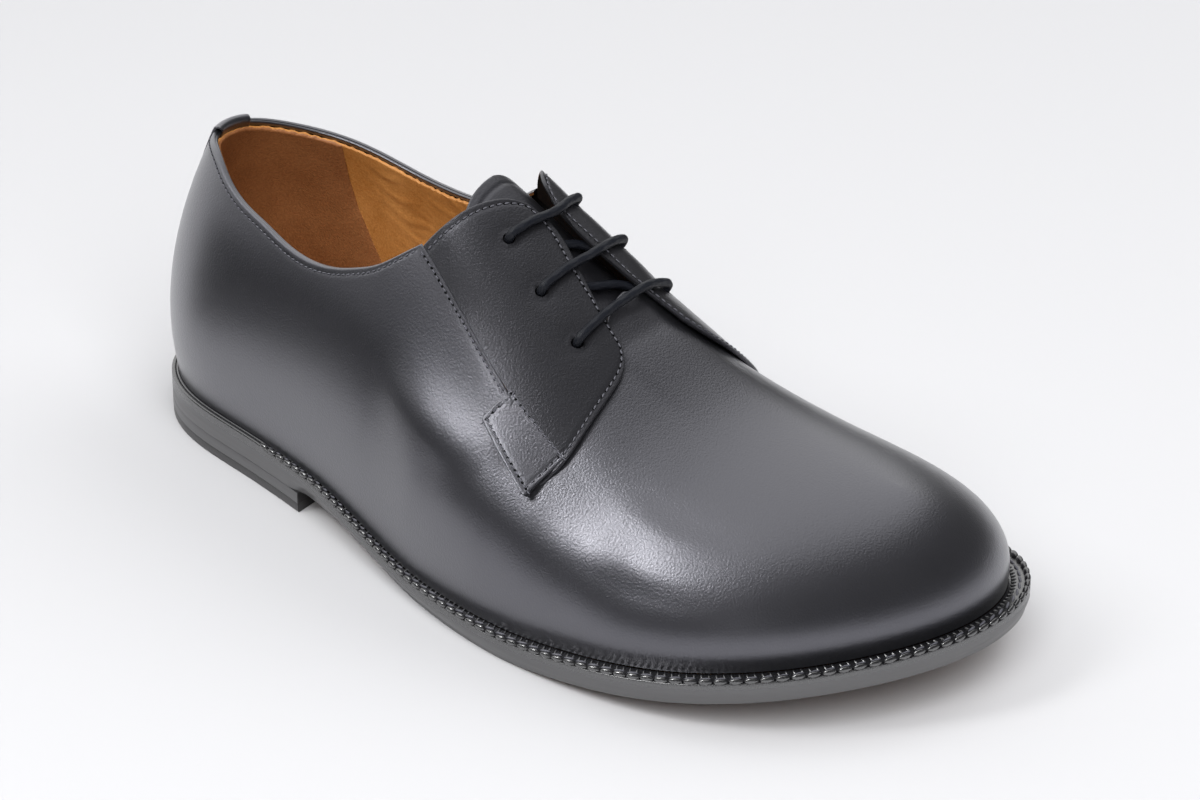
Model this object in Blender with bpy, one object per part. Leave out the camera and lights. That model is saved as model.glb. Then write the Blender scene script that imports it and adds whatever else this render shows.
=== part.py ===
"""Plain-toe derby shoe for the right foot, black calf on a welted leather sole.

The last is a surface of ribs. Each rib stands on the feather line, the closed line where the upper
meets the sole, and rises over the foot to the ridge. Every leather piece is cut from that surface.
Sizes are in millimetres: x runs from heel to toe, y to the inner side of the foot, z up from the floor.
"""

import bmesh
import bpy
import numpy as np
from mathutils import Vector

MM = 0.001
GAP = 0.3
LATERAL = "lateral"
MEDIAL = "medial"

# Sole stack, from the floor up.
HEEL_HEIGHT = 6.5
TOP_PIECE = 3.0
OUTSOLE = 5.0
WELT = 3.2
INSOLE = 3.0
BREAST = 84.0
TREAD_START = 146.0
TREAD_END = 180.0
TOE_SPRING = 17.0
SPRING_POWER = 1.35
SOLE_END = 300.0

# Edges of the sole pieces: how far each lies in from the welt's edge, with small chamfers.
BASE_TUCK = 0.8
SOLE_INSET = 0.3
SOLE_CHAMFER = 0.6
CHAMFER_HEIGHT = 0.8
BEVEL_HEIGHT = 3.2
BEVEL_SHARE = 0.35
LIFT_INSET = 0.5
TOP_PIECE_INSET = 0.7
HEEL_CHAMFER = 0.6
WELT_ROUND = 1.0
INSOLE_ROOM = 0.6

# Leather and cord.
WALL = 2.2
FACING = 1.4
TAB = 0.8
TONGUE = 1.8
STRIP = 0.9
LACE_RADIUS = 1.35
EYELET_RADIUS = 2.3
LACE_ROOM = 5.0
LACE_POINTS = 84
SLANT_RISE = 0.93
SLACK = 0.1

# Sole outline seen from above, anticlockwise from the back of the heel along the outer side.
# shelf: from the welt's edge in to the feather line; tuck: how far the sole's bottom edge is drawn in.
OUTLINE = (
    # x, y, shelf, tuck
    (0.0, -3.0, 4.5, 0.8),
    (5.5, -19.0, 4.5, 0.8),
    (19.0, -30.5, 4.5, 0.8),
    (50.0, -39.0, 4.5, 0.8),
    (84.0, -46.0, 4.5, 1.4),
    (122.0, -57.0, 5.0, 2.4),
    (162.0, -67.5, 6.5, 1.4),
    (203.0, -70.5, 8.0, 0.8),
    (237.0, -66.0, 8.3, 0.8),
    (264.0, -52.0, 8.5, 0.8),
    (282.5, -33.0, 8.5, 0.8),
    (294.0, -12.5, 8.5, 0.8),
    (297.5, 7.0, 8.5, 0.8),
    (291.0, 29.0, 8.5, 0.8),
    (275.0, 44.0, 8.5, 0.8),
    (250.0, 51.0, 8.3, 0.8),
    (218.0, 51.0, 8.0, 0.8),
    (182.0, 44.5, 6.5, 1.8),
    (143.0, 35.0, 5.0, 3.4),
    (108.0, 29.5, 4.5, 3.4),
    (72.0, 30.5, 4.5, 2.0),
    (36.0, 30.0, 4.5, 0.8),
    (15.0, 23.5, 4.5, 0.8),
    (3.0, 10.5, 4.5, 0.8),
)

# Ridge of the last; behind the throat it passes above the open collar.
RIDGE = (
    # x, y, z
    (46.0, -4.0, 116.5),
    (80.0, -5.0, 118.5),
    (110.0, -5.5, 118.0),
    (133.0, -5.5, 108.5),
    (150.0, -5.0, 98.0),
    (165.0, -4.0, 88.5),
    (180.0, -2.0, 79.0),
    (200.0, 0.5, 66.5),
    (220.0, 2.5, 58.5),
    (240.0, 3.5, 54.5),
    (262.0, 4.0, 51.5),
)

# Shape of the ribs, by place along the foot: 0 is the heel, 1 the toe.
# fullness: 2 is round, more is squarer at the foot of the wall; swell: bulge over the feather line.
SECTIONS = (
    # place, fullness, outer swell, inner swell
    (0.00, 1.70, 3.3, 3.3),
    (0.15, 2.35, 3.1, 3.1),
    (0.30, 2.50, 2.0, 1.2),
    (0.45, 2.20, 1.2, 0.6),
    (0.60, 2.05, 1.2, 1.0),
    (0.75, 2.00, 1.4, 1.4),
    (0.90, 2.35, 1.2, 1.2),
    (1.00, 2.45, 0.6, 0.6),
)

# Edge of the collar: the rib's place on the feather line and the share of its rise on each side.
COLLAR = (
    # x, outer rise, inner rise
    (4.5, 0.562, 0.562),
    (17.0, 0.540, 0.507),
    (30.0, 0.484, 0.467),
    (43.0, 0.431, 0.431),
    (56.0, 0.396, 0.396),
    (69.0, 0.368, 0.374),
    (82.0, 0.366, 0.374),
    (92.0, 0.388, 0.390),
    (101.0, 0.427, 0.427),
    (109.0, 0.481, 0.481),
    (118.0, 0.592, 0.592),
)

# Seam behind each facing, then the edge of the throat that the facings hide.
SEAM = (
    # x, rise
    (118.0, 0.592),
    (142.0, 0.558),
    (164.5, 0.514),
)
THROAT = (
    # rise, x
    (0.514, 164.5),
    (0.610, 174.5),
    (0.745, 180.5),
    (0.820, 178.0),
    (0.910, 172.0),
    (1.000, 169.0),
)

# The four edges of each facing, as rib place and rise; the inner one stands further off the vamp.
FACING_TOP = ((118.0, 0.592), (120.0, 0.678), (121.8, 0.767), (124.0, 0.849), (126.6, 0.910), (131.0, 0.955))
FACING_REAR = {
    LATERAL: ((118.0, 0.592), (142.0, 0.558), (164.3, 0.515), (182.0, 0.352)),
    MEDIAL: ((118.0, 0.592), (142.0, 0.558), (164.3, 0.515), (188.0, 0.352)),
}
FACING_INNER = {
    LATERAL: ((131.0, 0.955), (141.5, 0.967), (151.8, 0.943), (167.9, 0.887), (182.5, 0.842)),
    MEDIAL: ((131.0, 0.955), (141.5, 0.967), (151.8, 0.955), (167.9, 0.938), (186.0, 0.890)),
}
FACING_FRONT = {
    LATERAL: ((182.0, 0.352), (187.9, 0.475), (189.3, 0.596), (189.4, 0.714), (187.2, 0.804), (182.5, 0.842)),
    MEDIAL: ((188.0, 0.352), (194.5, 0.475), (196.5, 0.596), (196.5, 0.714), (193.5, 0.815), (186.0, 0.890)),
}
FACING_ROWS = 15
FACING_COLUMNS = 9

# A facing lies a slit below the seam and a little sunk, lifts over the vamp's edge, and stands free in front.
SEAM_SLIT = 0.006
SUNK = -0.4
LAP_START = 12.0
LAP_RUN = 9.0
FREE_START = 168.0
FREE_RUN = 20.0
STAND_OFF = {LATERAL: 1.0, MEDIAL: 2.8}
EYELETS = {
    LATERAL: ((136.8, 0.810), (154.8, 0.778), (172.7, 0.750)),
    MEDIAL: ((136.8, 0.815), (154.8, 0.800), (172.7, 0.785)),
}

# Tab over the foot of a facing: back lower, back upper, front upper and front lower corner.
# TAB_BEND: where along its diagonal it climbs onto the facing, and over what share.
TAB_CORNERS = {
    LATERAL: ((160.7, 0.417), (165.8, 0.517), (187.6, 0.494), (182.6, 0.351)),
    MEDIAL: ((161.7, 0.417), (166.8, 0.517), (193.6, 0.494), (188.6, 0.351)),
}
TAB_BEND = (0.40, 0.50)

# Tongue: its top on the ridge, its front end under the vamp and the rise of its side edges.
TONGUE_TOP = 115.5
TONGUE_ROUND = 12.0
TONGUE_END = 190.0
TONGUE_SIDE = 0.68
TONGUE_JOIN = (176.0, 186.0)

# Strip over the back of the heel: share of the outline to each side, at its top and its foot.
STRIP_TOP = 0.0155
STRIP_FOOT = 0.0095
STRIP_RISE = 0.33
STRIP_OVER = 0.010


def spline(knots, values, closed=False):
    """Cubic spline through the values, with free ends or closed on itself."""
    knots = np.asarray(knots, float)
    values = np.asarray(values, float).reshape(len(knots), -1)
    steps = np.diff(knots)
    count = len(knots)
    system = np.zeros((count, count))
    right = np.zeros(values.shape)
    for i in range(1, count - 1):
        system[i, i - 1:i + 2] = steps[i - 1], 2 * (steps[i - 1] + steps[i]), steps[i]
        right[i] = 6 * ((values[i + 1] - values[i]) / steps[i] - (values[i] - values[i - 1]) / steps[i - 1])
    system[0, 0] = 1
    system[-1, -1] = 1
    if closed:
        system[0, -1] = -1
        system[-1, [0, 1, -2, -1]] = 2 * steps[0], steps[0], steps[-1], 2 * steps[-1]
        right[-1] = 6 * ((values[1] - values[0]) / steps[0] - (values[-1] - values[-2]) / steps[-1])
    bend = np.linalg.solve(system, right)

    def curve(at):
        at = np.asarray(at, float)
        if closed:
            at = knots[0] + np.mod(at - knots[0], knots[-1] - knots[0])
        i = np.clip(np.searchsorted(knots, at) - 1, 0, count - 2)
        after = ((at - knots[i]) / steps[i])[..., None]
        before = 1 - after
        arch = (before ** 3 - before) * bend[i] + (after ** 3 - after) * bend[i + 1]
        return before * values[i] + after * values[i + 1] + arch * (steps[i] ** 2)[..., None] / 6

    return curve


def along(rows):
    """Share of the length at each row of a path."""
    rows = np.asarray(rows, float)
    lengths = np.linalg.norm(np.diff(rows, axis=0), axis=1)
    return np.concatenate([[0], np.cumsum(lengths)]) / lengths.sum()


def smooth_step(value):
    value = np.clip(value, 0, 1)
    return value * value * (3 - 2 * value)


outline_rows = np.array(OUTLINE + OUTLINE[:1])
outline_curve = spline(along(outline_rows[:, :2]), outline_rows, closed=True)
ridge_rows = np.array(RIDGE)
ridge_curve = spline(ridge_rows[:, 0], ridge_rows[:, 1:])
section_rows = np.array(SECTIONS)
section_curve = spline(section_rows[:, 0], section_rows[:, 1:])
collar_rows = np.array(COLLAR)
collar_curve = spline(collar_rows[:, 0], collar_rows[:, 1:])
throat_curve = spline(*np.array(THROAT).T)


def sole_edge(u, inset=0.0):
    """Point of the sole's outline at share u of its length, moved in by inset."""
    step = 1e-4
    run = (outline_curve(u + step) - outline_curve(u - step))[..., :2]
    run /= np.linalg.norm(run, axis=-1, keepdims=True)
    outward = np.stack([run[..., 1], -run[..., 0]], -1)
    return outline_curve(u)[..., :2] - outward * np.asarray(inset)[..., None], outward


def shelf_at(u):
    return outline_curve(u)[..., 2]


def tuck_at(u):
    return outline_curve(u)[..., 3]


def sole_bottom(x):
    """Height of the outsole's underside: heel seat, arch, flat tread and toe spring."""
    arch = HEEL_HEIGHT * (1 - smooth_step((x - BREAST) / (TREAD_START - BREAST)))
    spring = np.clip((x - TREAD_END) / (SOLE_END - TREAD_END), 0, None) ** SPRING_POWER
    return arch + TOE_SPRING * spring


FEATHER_HEIGHT = OUTSOLE + GAP + WELT + GAP

around = np.linspace(0, 1, 4001)[:-1]
feather_ring = sole_edge(around, shelf_at(around))[0]
HEEL_U = around[feather_ring[:, 0].argmin()] % 1
TOE_U = around[feather_ring[:, 0].argmax()]
HEEL_X = feather_ring[:, 0].min()
TOE_X = feather_ring[:, 0].max()
HEEL_START = HEEL_U - 1 if HEEL_U > 0.5 else HEEL_U
lateral_u = np.linspace(HEEL_START, TOE_U, 2000)
medial_u = np.linspace(HEEL_START + 1, TOE_U, 2000)
side_table = {
    LATERAL: (sole_edge(lateral_u, shelf_at(lateral_u))[0][:, 0], lateral_u),
    MEDIAL: (sole_edge(medial_u, shelf_at(medial_u))[0][:, 0], medial_u),
}


def rib_at(side, x):
    """Share of the outline at which a side's rib stands at x."""
    places, shares = side_table[side]
    return np.interp(x, places, shares)


def last_point(u, rise):
    """Point of the last on the rib at u, at a share of its rise from feather line to ridge."""
    u, rise = np.broadcast_arrays(np.asarray(u, float), np.asarray(rise, float))
    base, outward = sole_edge(u, shelf_at(u))
    place = (base[..., 0] - HEEL_X) / (TOE_X - HEEL_X)
    ridge_x = ridge_rows[0, 0] + (ridge_rows[-1, 0] - ridge_rows[0, 0]) * place
    ridge = ridge_curve(ridge_x)
    step = 0.05
    slope = (ridge_curve(ridge_x + step) - ridge_curve(ridge_x - step))[..., 1] / (2 * step)
    crest = np.stack([ridge_x, ridge[..., 0]], -1)
    section = section_curve(place)
    is_outer = np.mod(u - HEEL_START, 1) < TOE_U - HEEL_START
    swell = np.where(is_outer, section[..., 1], section[..., 2])
    turn = rise * np.pi / 2
    up = np.sin(turn) ** (2 / section[..., 0])
    bulge = swell * 6.75 * up * (1 - up) ** 2
    plan = crest + (base - crest) * np.cos(turn)[..., None] + outward * bulge[..., None]
    foot = sole_bottom(base[..., 0]) + FEATHER_HEIGHT
    lean = slope * (plan[..., 0] - ridge_x) * smooth_step((place - 0.25) / 0.2)
    height = foot + (ridge[..., 1] + lean - foot) * up
    return np.concatenate([plan, height[..., None]], -1)


def last_normal(u, rise):
    """Outward direction of the last, level along the feather line."""
    u, rise = np.broadcast_arrays(np.asarray(u, float), np.asarray(rise, float))
    on_feather = rise == 0
    rise = np.clip(rise, 0.004, 0.996)
    step_u = 2e-4
    step_rise = 2e-3
    forward = last_point(u + step_u, rise) - last_point(u - step_u, rise)
    upward = last_point(u, rise + step_rise) - last_point(u, rise - step_rise)
    direction = np.cross(forward, upward)
    direction[..., 2] = np.where(on_feather, 0, direction[..., 2])
    return direction / np.linalg.norm(direction, axis=-1, keepdims=True)


def grid_faces(rows, columns):
    """Four-sided faces of a grid of points."""
    return [(r * columns + c, r * columns + c + 1, (r + 1) * columns + c + 1, (r + 1) * columns + c)
            for r in range(rows - 1) for c in range(columns - 1)]


def weld(points, normals, faces):
    """Merge points that lie on each other and drop the faces' repeated corners."""
    index = {}
    kept = []
    place = []
    for i, point in enumerate(points):
        key = tuple(np.round(point, 3))
        if key not in index:
            index[key] = len(kept)
            kept.append(i)
        place.append(index[key])
    merged = []
    for face in faces:
        corners = []
        for corner in face:
            if place[corner] not in corners:
                corners.append(place[corner])
        if len(corners) > 2:
            merged.append(tuple(corners))
    return points[kept], normals[kept], merged


def thicken(points, normals, faces, low, high):
    """Closed wall between two heights over one sheet of faces."""
    count = len(points)
    inner = points + normals * np.asarray(low).reshape(-1, 1)
    outer = points + normals * np.asarray(high).reshape(-1, 1)
    solid = [tuple(corner + count for corner in face) for face in faces]
    solid += [tuple(reversed(face)) for face in faces]
    runs = {(face[i], face[(i + 1) % len(face)]) for face in faces for i in range(len(face))}
    for a, b in sorted(runs):
        if (b, a) not in runs:
            solid.append((a, b, b + count, a + count))
    return np.concatenate([inner, outer]), solid


def make_object(name, points, faces, material, smooth_angle=40):
    """Mesh object in metres, with its faces turned outward."""
    mesh = bpy.data.meshes.new(name)
    mesh.from_pydata(((np.asarray(points) - ORIGIN) * MM).tolist(), [], faces)
    form = bmesh.new()
    form.from_mesh(mesh)
    bmesh.ops.recalc_face_normals(form, faces=form.faces)
    bmesh.ops.triangulate(form, faces=form.faces)
    form.to_mesh(mesh)
    form.free()
    mesh.shade_smooth()
    mesh.set_sharp_from_angle(angle=np.radians(smooth_angle))
    mesh.materials.append(material)
    thing = bpy.data.objects.new(name, mesh)
    bpy.context.scene.collection.objects.link(thing)
    return thing


def make_material(name, colour, roughness):
    material = bpy.data.materials.new(name)
    material.use_nodes = True
    shader = material.node_tree.nodes["Principled BSDF"]
    shader.inputs["Base Color"].default_value = (*colour, 1)
    shader.inputs["Roughness"].default_value = roughness
    return material


def spread(start, end, count, close_at_end=False, close_at_start=False):
    """Places from start to end, set closer where the outline turns."""
    share = np.linspace(0, 1, count)
    if close_at_end:
        share = np.sin(share * np.pi / 2)
    if close_at_start:
        share = 1 - np.cos(share * np.pi / 2)
    return start + (end - start) * share


# Places along the foot: ribs of the upper, and stations of the sole.
HEEL_RIBS = spread(HEEL_X, 62.0, 11, close_at_start=True)
QUARTER_RIBS = spread(62.0, COLLAR[-1][0], 7)[1:]
SEAM_RIBS = spread(SEAM[0][0], SEAM[-1][0], 6)[1:]
VAMP_SHARES = spread(0, 1, 15, close_at_end=True)
BAND_ROWS = 9
VAMP_ROWS = 8
SOLE_HEEL = np.concatenate([spread(HEEL_X, 40.0, 8, close_at_start=True), spread(40.0, BREAST, 4)[1:]])
SOLE_FRONT = np.concatenate([
    spread(BREAST, TREAD_START, 7)[1:],
    spread(TREAD_START, TREAD_END, 3)[1:],
    spread(TREAD_END, TOE_X, 14, close_at_end=True)[1:],
])
SOLE_STATIONS = np.concatenate([SOLE_HEEL, SOLE_FRONT])


def ring_shares(stations):
    """Shares of the outline round a sole piece, and the pairs that lie across from each other."""
    closed = stations[-1] == TOE_X
    outer = rib_at(LATERAL, stations)
    inner = rib_at(MEDIAL, stations[1:-1] if closed else stations[1:])
    shares = np.concatenate([outer, inner[::-1]])
    count = len(shares)
    pairs = [(i, (count - i) % count) for i in range(len(stations))]
    return shares, pairs


welt_shares, _ = ring_shares(SOLE_STATIONS)
welt_ring = sole_edge(welt_shares)[0]
ORIGIN = np.append((welt_ring.min(axis=0) + welt_ring.max(axis=0)) / 2, 0)


def edge_rise(side, x):
    """Rise of the upper's edge on the rib at x: collar, then seam, then the level that meets the vamp."""
    seam_x, seam_rise = np.array(SEAM).T
    column = 0 if side == LATERAL else 1
    collar = collar_curve(np.maximum(x, COLLAR[0][0]))[..., column]
    return np.where(x < seam_x[0], collar, np.interp(x, seam_x, seam_rise))


def slab(name, stations, layers, material):
    """Closed piece of the sole from rings, each with its inset and its height at every place."""
    shares, pairs = ring_shares(stations)
    count = len(shares)
    rings = []
    for inset, height in layers:
        plan = sole_edge(shares, inset(shares))[0]
        rings.append(np.column_stack([plan, height(plan[:, 0])]))
    faces = []
    for level in range(len(layers) - 1):
        low = level * count
        for i in range(count):
            j = (i + 1) % count
            faces.append((low + i, low + j, low + count + j, low + count + i))
    top = (len(layers) - 1) * count
    for (a, b), (c, d) in zip(pairs, pairs[1:]):
        corners = list(dict.fromkeys((a, c, d, b)))
        faces.append(tuple(reversed(corners)))
        faces.append(tuple(corner + top for corner in corners))
    return make_object(name, np.concatenate(rings), faces, material, smooth_angle=30)


def flat(height):
    return lambda x: np.full(len(x), height)


def over_bottom(height):
    return lambda x: sole_bottom(x) + height


def drawn_in(amount):
    return lambda shares: np.full(len(shares), amount)


def outsole(material):
    """Leather sole: bevelled waist, upright edge, flat tread under the ball."""
    layers = (
        (lambda u: tuck_at(u) + SOLE_CHAMFER, over_bottom(0)),
        (lambda u: tuck_at(u), over_bottom(CHAMFER_HEIGHT)),
        (lambda u: SOLE_INSET + BEVEL_SHARE * (tuck_at(u) - BASE_TUCK), over_bottom(BEVEL_HEIGHT)),
        (drawn_in(SOLE_INSET), over_bottom(OUTSOLE)),
    )
    return slab("outsole", SOLE_STATIONS, layers, material)


def heel(lift_material, rubber_material):
    """Low heel: a leather lift under the seat and a rubber top piece on the floor."""
    lift = (
        (drawn_in(TOP_PIECE_INSET), flat(TOP_PIECE + GAP)),
        (drawn_in(LIFT_INSET), flat(HEEL_HEIGHT - GAP)),
    )
    slab("heel_lift", SOLE_HEEL, lift, lift_material)
    piece = (
        (drawn_in(TOP_PIECE_INSET + HEEL_CHAMFER), flat(0)),
        (drawn_in(TOP_PIECE_INSET + 0.1), flat(HEEL_CHAMFER)),
        (drawn_in(TOP_PIECE_INSET), flat(TOP_PIECE)),
    )
    slab("heel_top_piece", SOLE_HEEL, piece, rubber_material)


def insole(material):
    """Insole and its bed, inside the welt and the foot of the upper."""
    inside = (lambda u: shelf_at(u) + INSOLE_ROOM)
    layers = ((inside, over_bottom(OUTSOLE + GAP)), (inside, over_bottom(FEATHER_HEIGHT + INSOLE)))
    return slab("insole", SOLE_STATIONS, layers, material)


def welt(material):
    """Strip between upper and outsole, with a rounded upper rim."""
    count = len(welt_shares)
    foot = OUTSOLE + GAP
    section = (
        # inset, height over the sole's bottom
        (shelf_at(welt_shares), foot),
        (np.zeros(count), foot),
        (np.zeros(count), foot + WELT - WELT_ROUND),
        (np.full(count, 0.9 * WELT_ROUND), foot + WELT),
        (shelf_at(welt_shares), foot + WELT),
    )
    points = []
    for inset, height in section:
        plan = sole_edge(welt_shares, inset)[0]
        points.append(np.column_stack([plan, sole_bottom(plan[:, 0]) + height]))
    faces = []
    sides = len(section)
    for level in range(sides):
        for i in range(count):
            j = (i + 1) % count
            above = (level + 1) % sides
            faces.append((level * count + i, level * count + j, above * count + j, above * count + i))
    return make_object("welt", np.concatenate(points), faces, material, smooth_angle=30)


def upper(material):
    """One hollow wall: quarters and vamp in one, open at collar, throat and underneath."""
    vamp_ribs = SEAM[-1][0] + (TOE_X - SEAM[-1][0]) * VAMP_SHARES[1:]
    ribs = np.concatenate([HEEL_RIBS, QUARTER_RIBS, SEAM_RIBS, vamp_ribs])
    sheets = []
    for side in (LATERAL, MEDIAL):
        rise = np.linspace(0, 1, BAND_ROWS)[:, None] * edge_rise(side, ribs)[None]
        sheets.append((side, np.broadcast_to(ribs, rise.shape), rise))
        rise = np.linspace(SEAM[-1][1], 1, VAMP_ROWS)[:, None] * np.ones((1, len(VAMP_SHARES)))
        start = throat_curve(rise)[..., 0]
        sheets.append((side, start + (TOE_X - start) * VAMP_SHARES[None], rise))
    points, normals, faces = join_sheets(sheets)
    wall, solid = thicken(points, normals, faces, np.zeros(len(points)), np.full(len(points), WALL))
    on_feather = np.tile(np.abs(normals[:, 2]) < 1e-9, 2)
    wall[on_feather, 2] = sole_bottom(wall[on_feather, 0]) + FEATHER_HEIGHT
    return make_object("upper", wall, solid, material)


def join_sheets(sheets):
    """One sheet of faces from grids of places and rises on the two sides."""
    points, normals, faces = [], [], []
    for side, place, rise in sheets:
        u = rib_at(side, place)
        offset = sum(len(rows) for rows in points)
        turned = grid_faces(*rise.shape)
        if side == MEDIAL:
            turned = [tuple(reversed(face)) for face in turned]
        faces += [tuple(corner + offset for corner in face) for face in turned]
        points.append(last_point(u, rise).reshape(-1, 3))
        normals.append(last_normal(u, rise).reshape(-1, 3))
    return weld(np.concatenate(points), np.concatenate(normals), faces)


def edge_path(rows, shares, straight=False):
    """Places and rises along one edge of a panel."""
    rows = np.asarray(rows, float)
    length = along(rows * (1, 100))
    if straight:
        return np.column_stack([np.interp(shares, length, column) for column in rows.T])
    return spline(length, rows)(shares)


def facing_grid(side, rows, columns):
    """Places and rises over a facing: rows run from its top to its front, columns from seam to throat."""
    down = np.linspace(0, 1, rows)
    across = np.linspace(0, 1, columns)
    rear = edge_path(FACING_REAR[side], down, straight=True)[:, None]
    inner = edge_path(FACING_INNER[side], down)[:, None]
    top = edge_path(FACING_TOP, across)[None]
    front = edge_path(FACING_FRONT[side], across)[None]
    a = across[None, :, None]
    b = down[:, None, None]
    corners = (1 - a) * (1 - b) * top[0, 0] + a * (1 - b) * top[0, -1]
    corners = corners + (1 - a) * b * front[0, 0] + a * b * front[0, -1]
    mesh = (1 - b) * top + b * front + (1 - a) * rear + a * inner - corners
    slit = SEAM_SLIT * (1 - across)[None, :]
    return mesh[..., 0], mesh[..., 1] + slit


def facing_level(side, place, rise):
    """Height of a facing's inner face over the last: sunk beside the seam, lifted where it laps the vamp."""
    edge = throat_curve(np.clip(rise, THROAT[0][0], 1))[..., 0]
    lap = smooth_step((place - (edge - LAP_START)) / LAP_RUN)
    free = smooth_step((place - FREE_START) / FREE_RUN)
    return SUNK + lap * (WALL + GAP - SUNK) + free * STAND_OFF[side]


def panel(name, side, place, rise, low, high, material):
    """Leather panel between two heights over the last."""
    u = rib_at(side, place)
    points = last_point(u, rise).reshape(-1, 3)
    normals = last_normal(u, rise).reshape(-1, 3)
    faces = grid_faces(*place.shape)
    return make_object(name, *thicken(points, normals, faces, low.reshape(-1), high.reshape(-1)), material)


def facing(side, material):
    """Eyelet panel with three punched holes."""
    place, rise = facing_grid(side, FACING_ROWS, FACING_COLUMNS)
    low = facing_level(side, place, rise)
    thing = panel("facing_" + side, side, place, rise, low, low + FACING, material)
    for number, (x, share) in enumerate(EYELETS[side], 1):
        u = rib_at(side, x)
        name = "punch_%s_%d" % (side, number)
        cut = thing.modifiers.new(name, "BOOLEAN")
        cut.operation = "DIFFERENCE"
        cut.solver = "EXACT"
        cut.object = punch(name, last_point(u, share), last_normal(u, share))
    return thing


def punch(name, centre, axis):
    """Hidden cutter: a round bar through an eyelet."""
    form = bmesh.new()
    radius = EYELET_RADIUS * MM
    bmesh.ops.create_cone(form, cap_ends=True, segments=10, radius1=radius, radius2=radius, depth=16 * MM)
    turn = Vector((0, 0, 1)).rotation_difference(Vector(axis)).to_matrix()
    for vertex in form.verts:
        vertex.co = turn @ vertex.co + Vector((centre - ORIGIN) * MM)
    mesh = bpy.data.meshes.new(name)
    form.to_mesh(mesh)
    form.free()
    bar = bpy.data.objects.new(name, mesh)
    bar.hide_render = True
    bar.display_type = "WIRE"
    bpy.context.scene.collection.objects.link(bar)
    return bar


def tab(side, material):
    """Small stay over the foot of a facing, bent from the upper up onto the facing."""
    back_low, back_high, front_high, front_low = np.array(TAB_CORNERS[side])
    a = np.linspace(0, 1, 7)[None, :, None]
    b = np.linspace(0, 1, 7)[:, None, None]
    mesh = (1 - b) * ((1 - a) * back_low + a * back_high) + b * ((1 - a) * front_low + a * front_high)
    place = mesh[..., 0]
    rise = mesh[..., 1]
    bend_start, bend_run = TAB_BEND
    onto = smooth_step(((a + b)[..., 0] - bend_start) / bend_run)
    ground = WALL + GAP
    low = ground + onto * (facing_level(side, place, rise) + FACING + GAP - ground)
    return panel("tab_" + side, side, place, rise, low, low + TAB, material)


def tongue(material):
    """Tongue under the facings, joined inside the vamp."""
    sheets = []
    share = np.linspace(0, 1, 9)[None]
    for side in (LATERAL, MEDIAL):
        rise = np.linspace(TONGUE_SIDE, 1, 6)[:, None] * np.ones_like(share)
        top = TONGUE_TOP + TONGUE_ROUND * ((1 - rise) / (1 - TONGUE_SIDE)) ** 4
        sheets.append((side, top + (TONGUE_END - top) * share, rise))
    points, normals, faces = join_sheets(sheets)
    start, end = TONGUE_JOIN
    joined = smooth_step((points[:, 0] - start) / (end - start))
    high = -LACE_ROOM + joined * (LACE_ROOM - GAP - SLACK)
    return make_object("tongue", *thicken(points, normals, faces, high - TONGUE, high), material)


def back_strip(material):
    """Strip over the top of the back seam."""
    height = np.linspace(0, 1, 7)[:, None]
    across = np.linspace(-1, 1, 9)[None]
    half = STRIP_FOOT + (STRIP_TOP - STRIP_FOOT) * height
    u = HEEL_START + half * across
    place = sole_edge(u, shelf_at(u))[0][..., 0]
    edge = np.where(across < 0, edge_rise(MEDIAL, place), edge_rise(LATERAL, place))
    rise = STRIP_RISE + (edge + STRIP_OVER - STRIP_RISE) * height
    points = last_point(u, rise).reshape(-1, 3)
    normals = last_normal(u, rise).reshape(-1, 3)
    low = np.full(len(points), WALL + GAP)
    faces = grid_faces(*rise.shape)
    return make_object("back_strip", *thicken(points, normals, faces, low, low + STRIP), material)


def lace_route():
    """Points of the lace: three bars over the facings, with a slanted run under them between two bars."""
    def at(side, x, rise, height):
        u = rib_at(side, x)
        level = facing_level(side, np.array(x), np.array(rise)) + height
        return last_point(u, rise) + last_normal(u, rise) * level

    below = -LACE_RADIUS - GAP - 5 * SLACK
    above = FACING + LACE_RADIUS + GAP + SLACK
    hole = (
        # rise from the eyelet's centre, height over the facing's inner face
        (0.045, below),
        (0.010, -1.7),
        (0.000, FACING / 2),
        (0.010, FACING + 1.6),
        (0.040, above),
    )
    bar = ((MEDIAL, 0.5), (MEDIAL, 0.85), (LATERAL, 0.85), (LATERAL, 0.5))
    route = []
    for number in range(len(EYELETS[LATERAL])):
        eyelet = {side: EYELETS[side][number] for side in (LATERAL, MEDIAL)}
        start_x, start_rise = eyelet[MEDIAL]
        end_x, end_rise = eyelet[LATERAL]
        route += [at(MEDIAL, start_x, start_rise + step, height) for step, height in hole]
        for side, share in bar:
            x, rise = eyelet[side]
            route.append(at(side, x, rise + (1 - rise) * share, above))
        route += [at(LATERAL, end_x, end_rise + step, height) for step, height in reversed(hole)]
        for after, _ in EYELETS[MEDIAL][number + 1:number + 2]:
            slant = (
                # side, share of the way to the next bar, drop below the facings
                (LATERAL, 0.35, 0.4),
                (MEDIAL, 0.65, 0.7),
            )
            for side, share, drop in slant:
                route.append(at(side, end_x + (after - end_x) * share, SLANT_RISE, below - drop))
    return np.array(route)


def lace(material):
    """Round waxed lace through the eyelets."""
    route = lace_route()
    points = spline(along(route), route)(np.linspace(0, 1, LACE_POINTS))
    curve = bpy.data.curves.new("lace", "CURVE")
    curve.dimensions = "3D"
    curve.bevel_depth = LACE_RADIUS * MM
    curve.bevel_resolution = 2
    curve.use_fill_caps = True
    line = curve.splines.new("POLY")
    line.points.add(LACE_POINTS - 1)
    for point, place in zip(line.points, (points - ORIGIN) * MM):
        point.co = (*place, 1)
    curve.materials.append(material)
    thing = bpy.data.objects.new("lace", curve)
    bpy.context.scene.collection.objects.link(thing)
    return thing


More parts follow.
